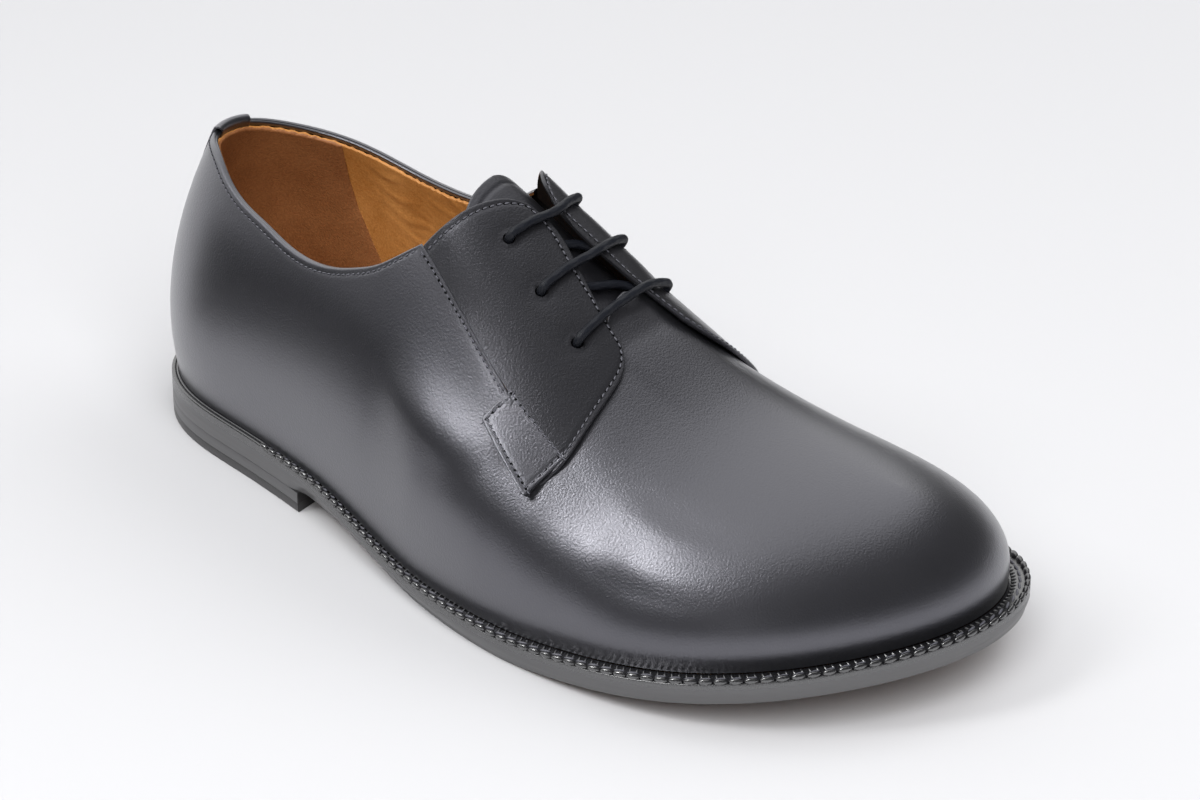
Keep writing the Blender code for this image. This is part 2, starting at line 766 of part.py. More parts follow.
for old in list(bpy.data.objects):
    bpy.data.objects.remove(old, do_unlink=True)

calf = make_material("black_calf", (0.012, 0.012, 0.013), 0.32)
facing_calf = make_material("black_facing_calf", (0.012, 0.012, 0.013), 0.34)
tab_calf = make_material("black_tab_calf", (0.011, 0.011, 0.012), 0.34)
tongue_calf = make_material("black_tongue_calf", (0.013, 0.013, 0.014), 0.4)
strip_calf = make_material("black_strip_calf", (0.011, 0.011, 0.012), 0.34)
sole_leather = make_material("dyed_sole_leather", (0.014, 0.014, 0.015), 0.38)
welt_leather = make_material("dyed_welt_leather", (0.012, 0.012, 0.013), 0.4)
lift_leather = make_material("dyed_lift_leather", (0.013, 0.013, 0.014), 0.42)
heel_rubber = make_material("black_heel_rubber", (0.010, 0.010, 0.010), 0.6)
insole_leather = make_material("tan_insole_leather", (0.42, 0.20, 0.07), 0.55)
lace_cotton = make_material("waxed_black_cotton", (0.014, 0.014, 0.016), 0.5)

outsole(sole_leather)
heel(lift_leather, heel_rubber)
welt(welt_leather)
insole(insole_leather)
upper(calf)
tongue(tongue_calf)
for foot_side in (LATERAL, MEDIAL):
    facing(foot_side, facing_calf)
    tab(foot_side, tab_calf)
back_strip(strip_calf)
lace(lace_cotton)
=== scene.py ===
"""Looks of a plain-toe derby for the right foot: black calf on a welted leather sole, three bars of lace.

The shoe is put together in a shoemaker's order: last, sole, heel, welt, insole, upper, lining, back strip,
tongue, facings, tabs, seams and lace. Sizes are in millimetres on the last, with the heel at x 0,
and to_frame turns them into the frame's metres.
"""

import bmesh
import bpy
import numpy as np
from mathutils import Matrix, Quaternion, Vector


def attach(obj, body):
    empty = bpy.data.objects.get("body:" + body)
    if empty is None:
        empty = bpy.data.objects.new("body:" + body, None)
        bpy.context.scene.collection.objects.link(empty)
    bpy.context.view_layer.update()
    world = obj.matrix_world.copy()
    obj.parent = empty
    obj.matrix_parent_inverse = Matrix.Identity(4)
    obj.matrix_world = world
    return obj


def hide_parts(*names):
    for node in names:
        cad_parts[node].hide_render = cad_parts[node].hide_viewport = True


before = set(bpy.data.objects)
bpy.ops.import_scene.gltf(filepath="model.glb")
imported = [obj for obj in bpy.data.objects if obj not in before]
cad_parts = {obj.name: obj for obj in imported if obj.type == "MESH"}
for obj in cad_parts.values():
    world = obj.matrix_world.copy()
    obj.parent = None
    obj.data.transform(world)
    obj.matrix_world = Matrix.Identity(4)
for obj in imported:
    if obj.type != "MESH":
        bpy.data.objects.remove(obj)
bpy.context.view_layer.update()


# The last: the wooden form that gives every leather piece its shape. Its ribs stand on the feather line,
# the closed line where upper and sole meet, and rise over the foot to the ridge.
LATERAL = "lateral"
MEDIAL = "medial"
SIDES = (LATERAL, MEDIAL)
GAP = 0.3
HEEL_HEIGHT = 6.5
OUTSOLE = 5.0
WELT = 3.2
BREAST = 84.0
TREAD_START = 146.0
TREAD_END = 180.0
TOE_SPRING = 17.0
SPRING_POWER = 1.35
SOLE_END = 300.0
FEATHER_HEIGHT = OUTSOLE + GAP + WELT + GAP

# Sole outline from above, anticlockwise from the back of the heel along the outer side.
OUTLINE = (
    # x, y, shelf in to the feather line, tuck of the sole's bottom edge
    (0.0, -3.0, 4.5, 0.8),
    (5.5, -19.0, 4.5, 0.8),
    (19.0, -30.5, 4.5, 0.8),
    (50.0, -39.0, 4.5, 0.8),
    (84.0, -46.0, 4.5, 1.4),
    (122.0, -57.0, 5.0, 2.4),
    (162.0, -67.5, 6.5, 1.4),
    (203.0, -70.5, 8.0, 0.8),
    (237.0, -66.0, 8.3, 0.8),
    (264.0, -52.0, 8.5, 0.8),
    (282.5, -33.0, 8.5, 0.8),
    (294.0, -12.5, 8.5, 0.8),
    (297.5, 7.0, 8.5, 0.8),
    (291.0, 29.0, 8.5, 0.8),
    (275.0, 44.0, 8.5, 0.8),
    (250.0, 51.0, 8.3, 0.8),
    (218.0, 51.0, 8.0, 0.8),
    (182.0, 44.5, 6.5, 1.8),
    (143.0, 35.0, 5.0, 3.4),
    (108.0, 29.5, 4.5, 3.4),
    (72.0, 30.5, 4.5, 2.0),
    (36.0, 30.0, 4.5, 0.8),
    (15.0, 23.5, 4.5, 0.8),
    (3.0, 10.5, 4.5, 0.8),
)
RIDGE = (
    # x, y, z
    (46.0, -4.0, 116.5),
    (80.0, -5.0, 118.5),
    (110.0, -5.5, 118.0),
    (133.0, -5.5, 108.5),
    (150.0, -5.0, 98.0),
    (165.0, -4.0, 88.5),
    (180.0, -2.0, 79.0),
    (200.0, 0.5, 66.5),
    (220.0, 2.5, 58.5),
    (240.0, 3.5, 54.5),
    (262.0, 4.0, 51.5),
)
SECTIONS = (
    # place along the foot, fullness, outer swell, inner swell
    (0.00, 1.70, 3.3, 3.3),
    (0.15, 2.35, 3.1, 3.1),
    (0.30, 2.50, 2.0, 1.2),
    (0.45, 2.20, 1.2, 0.6),
    (0.60, 2.05, 1.2, 1.0),
    (0.75, 2.00, 1.4, 1.4),
    (0.90, 2.35, 1.2, 1.2),
    (1.00, 2.45, 0.6, 0.6),
)
# The swell's curve times this peaks at the value in the table.
SWELL_SCALE = 6.75
# Places along the foot between which the sections begin to lean with the ridge.
LEAN_SHARES = (0.25, 0.45)


def spline(knots, values, closed=False):
    """Cubic spline through the values, with free ends or closed on itself."""
    knots = np.asarray(knots, float)
    values = np.asarray(values, float).reshape(len(knots), -1)
    steps = np.diff(knots)
    count = len(knots)
    system = np.zeros((count, count))
    right = np.zeros(values.shape)
    for i in range(1, count - 1):
        system[i, i - 1:i + 2] = steps[i - 1], 2 * (steps[i - 1] + steps[i]), steps[i]
        right[i] = 6 * ((values[i + 1] - values[i]) / steps[i] - (values[i] - values[i - 1]) / steps[i - 1])
    system[0, 0] = 1
    system[-1, -1] = 1
    if closed:
        system[0, -1] = -1
        system[-1, [0, 1, -2, -1]] = 2 * steps[0], steps[0], steps[-1], 2 * steps[-1]
        right[-1] = 6 * ((values[1] - values[0]) / steps[0] - (values[-1] - values[-2]) / steps[-1])
    bend = np.linalg.solve(system, right)

    def curve(at):
        at = np.asarray(at, float)
        if closed:
            at = knots[0] + np.mod(at - knots[0], knots[-1] - knots[0])
        i = np.clip(np.searchsorted(knots, at) - 1, 0, count - 2)
        after = ((at - knots[i]) / steps[i])[..., None]
        before = 1 - after
        arch = (before ** 3 - before) * bend[i] + (after ** 3 - after) * bend[i + 1]
        return before * values[i] + after * values[i + 1] + arch * (steps[i] ** 2)[..., None] / 6

    return curve


def run_length(rows):
    """Length of a path up to each of its rows."""
    lengths = np.linalg.norm(np.diff(rows, axis=0), axis=1)
    return np.concatenate([[0], np.cumsum(lengths)])


def along(rows):
    """Share of the length at each row of a path."""
    lengths = run_length(rows)
    return lengths / lengths[-1]


def ramp(value, start, end):
    """Smooth change from 0 at start to 1 at end."""
    share = np.clip((value - start) / (end - start), 0, 1)
    return share * share * (3 - 2 * share)


outline_rows = np.array(OUTLINE + OUTLINE[:1])
outline_curve = spline(along(outline_rows[:, :2]), outline_rows, closed=True)
ridge_rows = np.array(RIDGE)
ridge_curve = spline(ridge_rows[:, 0], ridge_rows[:, 1:])
section_rows = np.array(SECTIONS)
section_curve = spline(section_rows[:, 0], section_rows[:, 1:])


def sole_edge(u, inset=0.0):
    """Point of the sole's outline at share u of its length, moved in by inset."""
    step = 1e-4
    run = (outline_curve(u + step) - outline_curve(u - step))[..., :2]
    run /= np.linalg.norm(run, axis=-1, keepdims=True)
    outward = np.stack([run[..., 1], -run[..., 0]], -1)
    return outline_curve(u)[..., :2] - outward * np.asarray(inset)[..., None], outward


def shelf_at(u):
    return outline_curve(u)[..., 2]


def tuck_at(u):
    return outline_curve(u)[..., 3]


def sole_bottom(x):
    """Height of the outsole's underside: heel seat, arch, flat tread and toe spring."""
    arch = HEEL_HEIGHT * ramp(x, TREAD_START, BREAST)
    spring = np.clip((x - TREAD_END) / (SOLE_END - TREAD_END), 0, None) ** SPRING_POWER
    return arch + TOE_SPRING * spring


around = np.linspace(0, 1, 4001)[:-1]
outline_ring = sole_edge(around)[0]
ORIGIN = np.append((outline_ring.min(axis=0) + outline_ring.max(axis=0)) / 2, 0)
feather_ring = sole_edge(around, shelf_at(around))[0]
HEEL_U = around[feather_ring[:, 0].argmin()] % 1
TOE_U = around[feather_ring[:, 0].argmax()]
HEEL_X = feather_ring[:, 0].min()
TOE_X = feather_ring[:, 0].max()
HEEL_START = HEEL_U - 1 if HEEL_U > 0.5 else HEEL_U
side_shares = {
    LATERAL: np.linspace(HEEL_START, TOE_U, 2000),
    MEDIAL: np.linspace(HEEL_START + 1, TOE_U, 2000),
}
side_places = {side: sole_edge(u, shelf_at(u))[0][:, 0] for side, u in side_shares.items()}


def rib_at(side, x):
    """Share of the outline at which a side's rib stands at x."""
    return np.interp(x, side_places[side], side_shares[side])


def last_point(u, rise):
    """Point of the last on the rib at u, at a share of its rise from feather line to ridge."""
    u, rise = np.broadcast_arrays(np.asarray(u, float), np.asarray(rise, float))
    base, outward = sole_edge(u, shelf_at(u))
    place = (base[..., 0] - HEEL_X) / (TOE_X - HEEL_X)
    ridge_x = ridge_rows[0, 0] + (ridge_rows[-1, 0] - ridge_rows[0, 0]) * place
    ridge = ridge_curve(ridge_x)
    step = 0.05
    slope = (ridge_curve(ridge_x + step) - ridge_curve(ridge_x - step))[..., 1] / (2 * step)
    crest = np.stack([ridge_x, ridge[..., 0]], -1)
    section = section_curve(place)
    is_outer = np.mod(u - HEEL_START, 1) < TOE_U - HEEL_START
    swell = np.where(is_outer, section[..., 1], section[..., 2])
    turn = rise * np.pi / 2
    up = np.sin(turn) ** (2 / section[..., 0])
    bulge = swell * SWELL_SCALE * up * (1 - up) ** 2
    plan = crest + (base - crest) * np.cos(turn)[..., None] + outward * bulge[..., None]
    foot = sole_bottom(base[..., 0]) + FEATHER_HEIGHT
    lean = slope * (plan[..., 0] - ridge_x) * ramp(place, *LEAN_SHARES)
    height = foot + (ridge[..., 1] + lean - foot) * up
    return np.concatenate([plan, height[..., None]], -1)


def last_normal(u, rise):
    """Outward direction of the last, level along the feather line."""
    u, rise = np.broadcast_arrays(np.asarray(u, float), np.asarray(rise, float))
    on_feather = rise == 0
    rise = np.clip(rise, 0.004, 0.996)
    step_u = 2e-4
    step_rise = 2e-3
    forward = last_point(u + step_u, rise) - last_point(u - step_u, rise)
    upward = last_point(u, rise + step_rise) - last_point(u, rise - step_rise)
    direction = np.cross(forward, upward)
    direction[..., 2] = np.where(on_feather, 0, direction[..., 2])
    return direction / np.linalg.norm(direction, axis=-1, keepdims=True)


def on_last(side, place, rise, level):
    """Points a number of millimetres off the last, and the directions they stand off in."""
    u = rib_at(side, place)
    normal = last_normal(u, rise)
    return last_point(u, rise) + normal * np.asarray(level)[..., None], normal


def rise_per_mm(side, place, rise):
    """Share of the rise that one millimetre up the rib takes."""
    u = rib_at(side, place)
    step = 0.004
    run = last_point(u, rise + step) - last_point(u, rise - step)
    return 2 * step / np.linalg.norm(run, axis=-1)


def to_frame(points):
    return (np.asarray(points) - ORIGIN) * 0.001


# Studio: a white tent round a plain pale floor, a tall key light to the left, a small window, two broad
# fills and two black cards. The camera looks down at the front of the outer side, through a long lens.
VIEW_AZIMUTH = 40.686
VIEW_ELEVATION = 28.5
VIEW_DISTANCE = 1300.0
VIEW_TARGET = (150.0, 0.0, 30.0)
LENS = 135.5
SHIFT = (0.0224, 0.0312)


def colour(hex_code):
    """Linear colour of an sRGB hex value."""
    parts = np.array([int(hex_code[i:i + 2], 16) for i in (1, 3, 5)]) / 255
    linear = np.where(parts <= 0.04045, parts / 12.92, ((parts + 0.055) / 1.055) ** 2.4)
    return (*linear.tolist(), 1.0)


def connect(made, inputs):
    """Set a node's inputs to a value, or link them to another node's output."""
    for socket, value in inputs.items():
        if isinstance(value, bpy.types.NodeSocket):
            made.id_data.links.new(value, made.inputs[socket])
        else:
            made.inputs[socket].default_value = value


def node(tree, kind, inputs=None, **settings):
    """Add a node with its settings and inputs."""
    made = tree.nodes.new(kind)
    for key, value in settings.items():
        setattr(made, key, value)
    connect(made, inputs or {})
    return made


def new_material(name, inputs):
    """Material with its tree, and its Principled shader with some inputs set, linked to the output."""
    material = bpy.data.materials.new(name)
    material.use_nodes = True
    tree = material.node_tree
    tree.nodes.clear()
    shader = node(tree, "ShaderNodeBsdfPrincipled", inputs)
    node(tree, "ShaderNodeOutputMaterial", {"Surface": shader.outputs[0]})
    return material, tree, shader


def aim(thing, place, target, roll=0.0):
    """Place a camera or light and point it at a target, both in the last's millimetres."""
    place = Vector(to_frame(place))
    target = Vector(to_frame(target))
    thing.location = place
    look = (target - place).to_track_quat("-Z", "Y")
    thing.rotation_euler = (look @ Quaternion((0, 0, 1), np.radians(roll))).to_euler()
    bpy.context.scene.collection.objects.link(thing)


turn_a, turn_e = np.radians([VIEW_AZIMUTH, VIEW_ELEVATION])
view_line = np.array([-np.sin(turn_a) * np.cos(turn_e), np.cos(turn_a) * np.cos(turn_e), -np.sin(turn_e)])
camera = bpy.data.objects.new("camera", bpy.data.cameras.new("camera"))
camera.data.lens = LENS
camera.data.sensor_width = 36
camera.data.shift_x, camera.data.shift_y = SHIFT
camera.data.clip_start = 0.01
aim(camera, np.array(VIEW_TARGET) - view_line * VIEW_DISTANCE, VIEW_TARGET)
bpy.context.scene.camera = camera
bpy.context.scene.view_settings.view_transform = "Standard"

# The room: a white tent behind the shoe and overhead, with a straight edge toward the dark camera's side.
TENT_MIDDLE = (-0.683, 0.183, 0.707)
TENT_EDGE = (0.57, 0.69)
TENT_GLOW = 1.1
DARK_ROOM = 0.09
world = bpy.data.worlds.new("studio")
world.use_nodes = True
tree = world.node_tree
tree.nodes.clear()
direction = node(tree, "ShaderNodeTexCoord")
inward = node(tree, "ShaderNodeVectorMath", {0: direction.outputs["Generated"], 1: TENT_MIDDLE},
              operation="DOT_PRODUCT")
glow = node(tree, "ShaderNodeMapRange", {"Value": inward.outputs["Value"], "From Min": TENT_EDGE[0],
                                         "From Max": TENT_EDGE[1], "To Min": DARK_ROOM, "To Max": TENT_GLOW},
            interpolation_type="SMOOTHSTEP")
background = node(tree, "ShaderNodeBackground", {"Color": glow.outputs[0], "Strength": 1.0})
node(tree, "ShaderNodeOutputWorld", {"Surface": background.outputs[0]})
bpy.context.scene.world = world

SOFT_BOXES = (
    # name, place, roll in degrees, width, height, watts
    ("key_box", (-436, -947, 1204), 20, 0.38, 0.72, 12),
    ("window", (810, -1640, 700), 0, 0.35, 0.70, 0.4),
    ("front_fill", (1250, -1150, 1900), 0, 2.2, 2.2, 99),
    ("back_fill", (900, 1500, 1700), 0, 2.2, 2.2, 39),
)
for name, place, roll, width, height, watts in SOFT_BOXES:
    light = bpy.data.lights.new(name, "AREA")
    light.shape = "RECTANGLE"
    light.size = width
    light.size_y = height
    light.energy = watts
    lamp = bpy.data.objects.new(name, light)
    lamp.visible_glossy = not name.endswith("fill")
    aim(lamp, place, VIEW_TARGET, roll)

# Black cards: one stands on the table and one hangs beside the facing, both outside the picture.
# They show only in the leather, as dark bands.
CARDS = {
    "standing_card": ((288, -475, 0), (-67, -62, 0), (-67, -62, 65), (288, -475, 65)),
    "hanging_card": ((39, -129, 166), (94, -159, 166), (117, -113, 214), (63, -83, 214)),
}
card_paper = new_material("black_card", {"Base Color": colour("#1A1A1C"), "Roughness": 0.9})[0]
for name, corners in CARDS.items():
    card_mesh = bpy.data.meshes.new(name)
    card_mesh.from_pydata(to_frame(corners).tolist(), [], [(0, 1, 2, 3)])
    card_mesh.materials.append(card_paper)
    card = bpy.data.objects.new(name, card_mesh)
    card.visible_camera = False
    card.visible_diffuse = False
    card.visible_shadow = False
    bpy.context.scene.collection.objects.link(card)

# Floor: a large sheet of white board, matt, so that it takes only the soft shadow of the shoe.
floor_board = new_material("matt_white_board", {
    "Base Color": colour("#AEAEB0"), "Roughness": 0.95, "Specular IOR Level": 0.0})[0]
FLOOR_SIZE = 12.0
half = FLOOR_SIZE / 2
floor_corners = [(-half, -half, 0), (half, -half, 0), (half, half, 0), (-half, half, 0)]
floor_mesh = bpy.data.meshes.new("floor")
floor_mesh.from_pydata(floor_corners, [], [(0, 1, 2, 3)])
floor_mesh.materials.append(floor_board)
floor = bpy.data.objects.new("floor", floor_mesh)
bpy.context.scene.collection.objects.link(floor)


# Outsole: one thickness of sole leather, its edge trimmed, dyed black and polished with hot wax.
# The waist is bevelled under, the tread lies flat below the ball, and the underside is left brown.
AROUND_COUNT = 1100


def make_piece(name, points, faces, materials, face_slots=None, smooth_angle=50):
    """Mesh object in the frame's metres with its faces turned outward and shaded smooth."""
    mesh = bpy.data.meshes.new(name)
    mesh.from_pydata(to_frame(points).tolist(), [], [tuple(face) for face in faces])
    for material in materials:
        mesh.materials.append(material)
    if face_slots is not None:
        mesh.polygons.foreach_set("material_index", np.asarray(face_slots, np.int32))
    form = bmesh.new()
    form.from_mesh(mesh)
    bmesh.ops.recalc_face_normals(form, faces=form.faces)
    form.to_mesh(mesh)
    form.free()
    mesh.shade_smooth()
    mesh.set_sharp_from_angle(angle=np.radians(smooth_angle))
    thing = bpy.data.objects.new(name, mesh)
    bpy.context.scene.collection.objects.link(thing)
    return thing


def dress(thing, slot, *nodes):
    """Fix a finished piece to the shoe, in place of the plain solids that it stands for."""
    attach(thing, "root")
    if nodes:
        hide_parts(*nodes)
    return thing


def ring_faces(rings, count, closed_section=False):
    """Faces between rings of points, each ring closed on itself."""
    faces = []
    i = np.arange(count)
    j = (i + 1) % count
    for level in range(rings if closed_section else rings - 1):
        low = level * count
        high = ((level + 1) % rings) * count
        faces.append(np.stack([low + i, low + j, high + j, high + i], -1))
    return np.concatenate(faces)


def slab_piece(name, u, layers, materials, cap_rows=12, bottom_slot=0, smooth_angle=50):
    """Closed flat piece: an edge of layers, with top and bottom filled by rings drawn in to a spine."""
    count = len(u)
    rings = []
    for inset, height in layers:
        plan = sole_edge(u, inset)[0]
        rings.append(np.column_stack([plan, height(plan[:, 0])]))
    spine_y = np.interp(rings[0][:, 0], (HEEL_X, TOE_X), (-3.0, 0.0))
    inner_x = np.clip(rings[0][:, 0], HEEL_X + 25, TOE_X - 40)

    def drawn_to_spine(ring, height):
        spine = np.column_stack([inner_x, spine_y])
        made = []
        for share in np.linspace(0, 1, cap_rows)[1:]:
            plan = ring[:, :2] + (spine - ring[:, :2]) * share
            made.append(np.column_stack([plan, height(plan[:, 0])]))
        return made

    bottom = drawn_to_spine(rings[0], layers[0][1])[::-1]
    top = drawn_to_spine(rings[-1], layers[-1][1])
    stack = bottom + rings + top
    faces = ring_faces(len(stack), count)
    slots = np.zeros(len(faces), int)
    slots[:len(bottom) * count] = bottom_slot
    return make_piece(name, np.concatenate(stack), faces, materials, slots, smooth_angle)


# Patterns are sized in millimetres, and Object coordinates are metres.
PER_METRE = (1000, 1000, 1000)

# Sole leather: dense and waxed, black on the edge with fine lines along it where the layers were pressed.
LINE_PITCH = 0.9
LINE_STRETCH = 0.03
black_edge, tree, shader = new_material("waxed_sole_edge", {"IOR": 1.8, "Specular IOR Level": 0.9})
place = node(tree, "ShaderNodeTexCoord").outputs["Object"]
millimetres = node(tree, "ShaderNodeMapping", {"Vector": place, "Scale": PER_METRE}).outputs[0]
streaks = node(tree, "ShaderNodeMapping", {"Vector": millimetres,
                                           "Scale": (LINE_STRETCH, LINE_STRETCH, 1 / LINE_PITCH)})
lines = node(tree, "ShaderNodeTexNoise", {"Vector": streaks.outputs[0], "Scale": 1.0, "Detail": 4.0})
rough = node(tree, "ShaderNodeMapRange", {"Value": lines.outputs[0], "From Min": 0.3, "From Max": 0.7,
                                          "To Min": 0.28, "To Max": 0.44})
tone = node(tree, "ShaderNodeMix", {"Factor": lines.outputs[0], "A": colour("#1C1C1E"),
                                    "B": colour("#2D2C2E")}, data_type="RGBA")
relief = node(tree, "ShaderNodeBump", {"Height": lines.outputs[0], "Strength": 0.2, "Distance": 0.00015})
connect(shader, {"Base Color": tone.outputs[2], "Roughness": rough.outputs[0], "Normal": relief.outputs[0]})

# Underside: oak-bark tanned leather, brown and buffed, with a soft mottled tone.
MOTTLE = 9.0
SOLE_FIBRE = 0.5
brown_sole, tree, shader = new_material("buffed_brown_sole_leather", {"Roughness": 0.55})
place = node(tree, "ShaderNodeTexCoord").outputs["Object"]
millimetres = node(tree, "ShaderNodeMapping", {"Vector": place, "Scale": PER_METRE}).outputs[0]
mottle = node(tree, "ShaderNodeTexNoise", {"Vector": millimetres, "Scale": 1 / MOTTLE, "Detail": 6.0})
tone = node(tree, "ShaderNodeMix", {"Factor": mottle.outputs[0], "A": colour("#6A4C3C"),
                                    "B": colour("#85624D")}, data_type="RGBA")
fibre = node(tree, "ShaderNodeTexNoise", {"Vector": millimetres, "Scale": 1 / SOLE_FIBRE, "Detail": 3.0})
relief = node(tree, "ShaderNodeBump", {"Height": fibre.outputs[0], "Strength": 0.3, "Distance": 0.0002})
connect(shader, {"Base Color": tone.outputs[2], "Normal": relief.outputs[0]})

SOLE_INSET = 0.03
BASE_TUCK = 0.8
BEVEL_SHARE = 0.35
HEEL_TUCK = 0.06
HEEL_ROUND = 0.1


def over_bottom(height):
    return lambda x: sole_bottom(x) + height


sole_shares = np.linspace(0, 1, AROUND_COUNT, endpoint=False)
clear = ramp(sole_edge(sole_shares)[0][:, 0], BREAST - 6, BREAST + 3)
tuck = tuck_at(sole_shares) * (HEEL_TUCK + (1 - HEEL_TUCK) * clear)
round_off = HEEL_ROUND + (1 - HEEL_ROUND) * clear
bevelled = np.maximum(SOLE_INSET + BEVEL_SHARE * (tuck - BASE_TUCK), SOLE_INSET)
flush = np.full(AROUND_COUNT, SOLE_INSET)
outsole = slab_piece("outsole", sole_shares, (
    (tuck + 0.75 * round_off, over_bottom(0.0)),
    (tuck + 0.35 * round_off, over_bottom(0.12)),
    (tuck + 0.1 * round_off, over_bottom(0.4)),
    (tuck, over_bottom(0.9)),
    (tuck * 0.6 + bevelled * 0.4, over_bottom(2.0)),
    (bevelled, over_bottom(3.2)),
    (flush, over_bottom(4.4)),
    (flush, over_bottom(OUTSOLE)),
), (black_edge, brown_sole), bottom_slot=1)
dress(outsole, "sole_leather", "outsole")


# Heel: a leather lift under the heel seat and a rubber bottom piece, nailed on, trimmed flush with the
# sole and blacked. Fine lines part the layers, and the breast at the front is cut a little hollow.
TOP_PIECE = 3.0
LIFT_INSET = 0.06
TOP_PIECE_INSET = 0.14
BREAST_DISH = 2.5
HEEL_MIDDLE = (38.0, -4.0)
heel_u_outer = rib_at(LATERAL, BREAST)
heel_u_inner = rib_at(MEDIAL, BREAST)
heel_shares = np.linspace(heel_u_inner - 1, heel_u_outer, 420)


def heel_piece(name, layers, materials):
    """Heel layer: rings round the heel, closed across the breast by a hollow front edge."""
    breast = np.linspace(0, 1, 40)[1:-1]
    rings = []
    for inset, height in layers:
        plan = sole_edge(heel_shares, np.full(len(heel_shares), inset))[0]
        front = plan[-1] + (plan[0] - plan[-1]) * breast[:, None]
        front[:, 0] -= BREAST_DISH * 4 * breast * (1 - breast)
        plan = np.concatenate([plan, front])
        rings.append(np.column_stack([plan, np.full(len(plan), height)]))

    def filled(ring, shares):
        return [np.column_stack([ring[:, :2] + (HEEL_MIDDLE - ring[:, :2]) * share, ring[:, 2]])
                for share in shares]

    shares = np.linspace(0, 1, 8)
    stack = filled(rings[0], shares[:0:-1]) + rings + filled(rings[-1], shares[1:])
    faces = ring_faces(len(stack), len(rings[0]))
    return make_piece(name, np.concatenate(stack), faces, materials, smooth_angle=35)


def speckled(name, grit, detail, tones, relief, inputs):
    """Material with one noise, of a grit in millimetres, in its tone and in its relief (strength, depth)."""
    material, tree, shader = new_material(name, inputs)
    place = node(tree, "ShaderNodeTexCoord").outputs["Object"]
    millimetres = node(tree, "ShaderNodeMapping", {"Vector": place, "Scale": PER_METRE}).outputs[0]
    specks = node(tree, "ShaderNodeTexNoise", {"Vector": millimetres, "Scale": 1 / grit, "Detail": detail})
    tone = node(tree, "ShaderNodeMix", {"Factor": specks.outputs[0], "A": colour(tones[0]),
                                        "B": colour(tones[1])}, data_type="RGBA")
    bump = node(tree, "ShaderNodeBump", {"Height": specks.outputs[0], "Strength": relief[0],
                                         "Distance": relief[1]})
    connect(shader, {"Base Color": tone.outputs[2], "Normal": bump.outputs[0]})
    return material


# Heel rubber: moulded, nearly matt, with a faint speckle.
heel_rubber = speckled("black_heel_rubber", grit=0.6, detail=3.0, tones=("#19191A", "#2D2C2D"),
                       relief=(0.3, 0.0002), inputs={"Roughness": 0.42, "Specular IOR Level": 0.9})

heel_lift = heel_piece("heel_lift", (
    (LIFT_INSET + 0.1, TOP_PIECE + 0.02),
    (LIFT_INSET, TOP_PIECE + 0.14),
    (LIFT_INSET, HEEL_HEIGHT - 0.12),
    (LIFT_INSET + 0.06, HEEL_HEIGHT - 0.01),
), (black_edge,))
dress(heel_lift, "lift_leather", "heel_lift")
heel_top_piece = heel_piece("heel_top_piece", (
    (TOP_PIECE_INSET + 0.55, 0.0),
    (TOP_PIECE_INSET + 0.2, 0.15),
    (TOP_PIECE_INSET, 0.5),
    (TOP_PIECE_INSET, TOP_PIECE - 0.12),
    (TOP_PIECE_INSET + 0.08, TOP_PIECE),
), (heel_rubber,))
dress(heel_top_piece, "heel_rubber", "heel_top_piece")


# Welt: a narrow strip of leather sewn to the upper's foot, on which the outsole is stitched. A hot wheel has
# pressed it into a row of rounded studs from the waist round the toe, and round the heel it is smooth.
WELT_FOOT = OUTSOLE + 0.02
STUD_PITCH = 4.2
STUD_START = 62.0
STUD_FADE = 10.0
CHANNEL = 2.2
LEAST_LIP = 2.1


def wheel_mark(u):
    """How strongly the wheel marked the welt: nothing round the heel, full in front of the heel seat."""
    x = sole_edge(u)[0][..., 0]
    return ramp(x, STUD_START, STUD_START + STUD_FADE)


def welt_section(u):
    """Rings of the welt's section, from its inner foot round the outside to its inner top."""
    shelf = shelf_at(u)
    lip = np.maximum(shelf - CHANNEL, LEAST_LIP)
    marked = wheel_mark(u)
    rows = (
        # inset, height over the welt's foot
        (shelf + 0.5, 0.0),
        (0.0, 0.0),
        (0.0, WELT - 1.1 - 0.5 * marked),
        (0.06, WELT - 0.75 - 0.75 * marked),
        (0.25, WELT - 0.5 - 0.95 * marked),
        (1.0, WELT - 0.4 - 1.05 * marked),
        (1.14, WELT - 0.5 - 0.95 * marked),
        (1.28, WELT - 0.95 - 0.5 * marked),
        (1.42, WELT - 0.5 - 0.95 * marked),
        (1.6, WELT - 0.38 - 1.05 * marked),
        (lip - 0.3, WELT - 0.38 - 0.95 * marked),
        (lip, WELT - 0.6 - 0.8 * marked),
        (lip + 0.3, WELT - 1.6 - 0.2 * marked),
        (shelf + 0.5, WELT - 1.9),
    )
    return [(inset + 0 * u, height + 0 * u) for inset, height in rows]


welt_u = np.linspace(0, 1, AROUND_COUNT, endpoint=False)
welt_rings = []
for inset, height in welt_section(welt_u):
    plan = sole_edge(welt_u, inset)[0]
    welt_rings.append(np.column_stack([plan, sole_bottom(plan[:, 0]) + WELT_FOOT + height]))

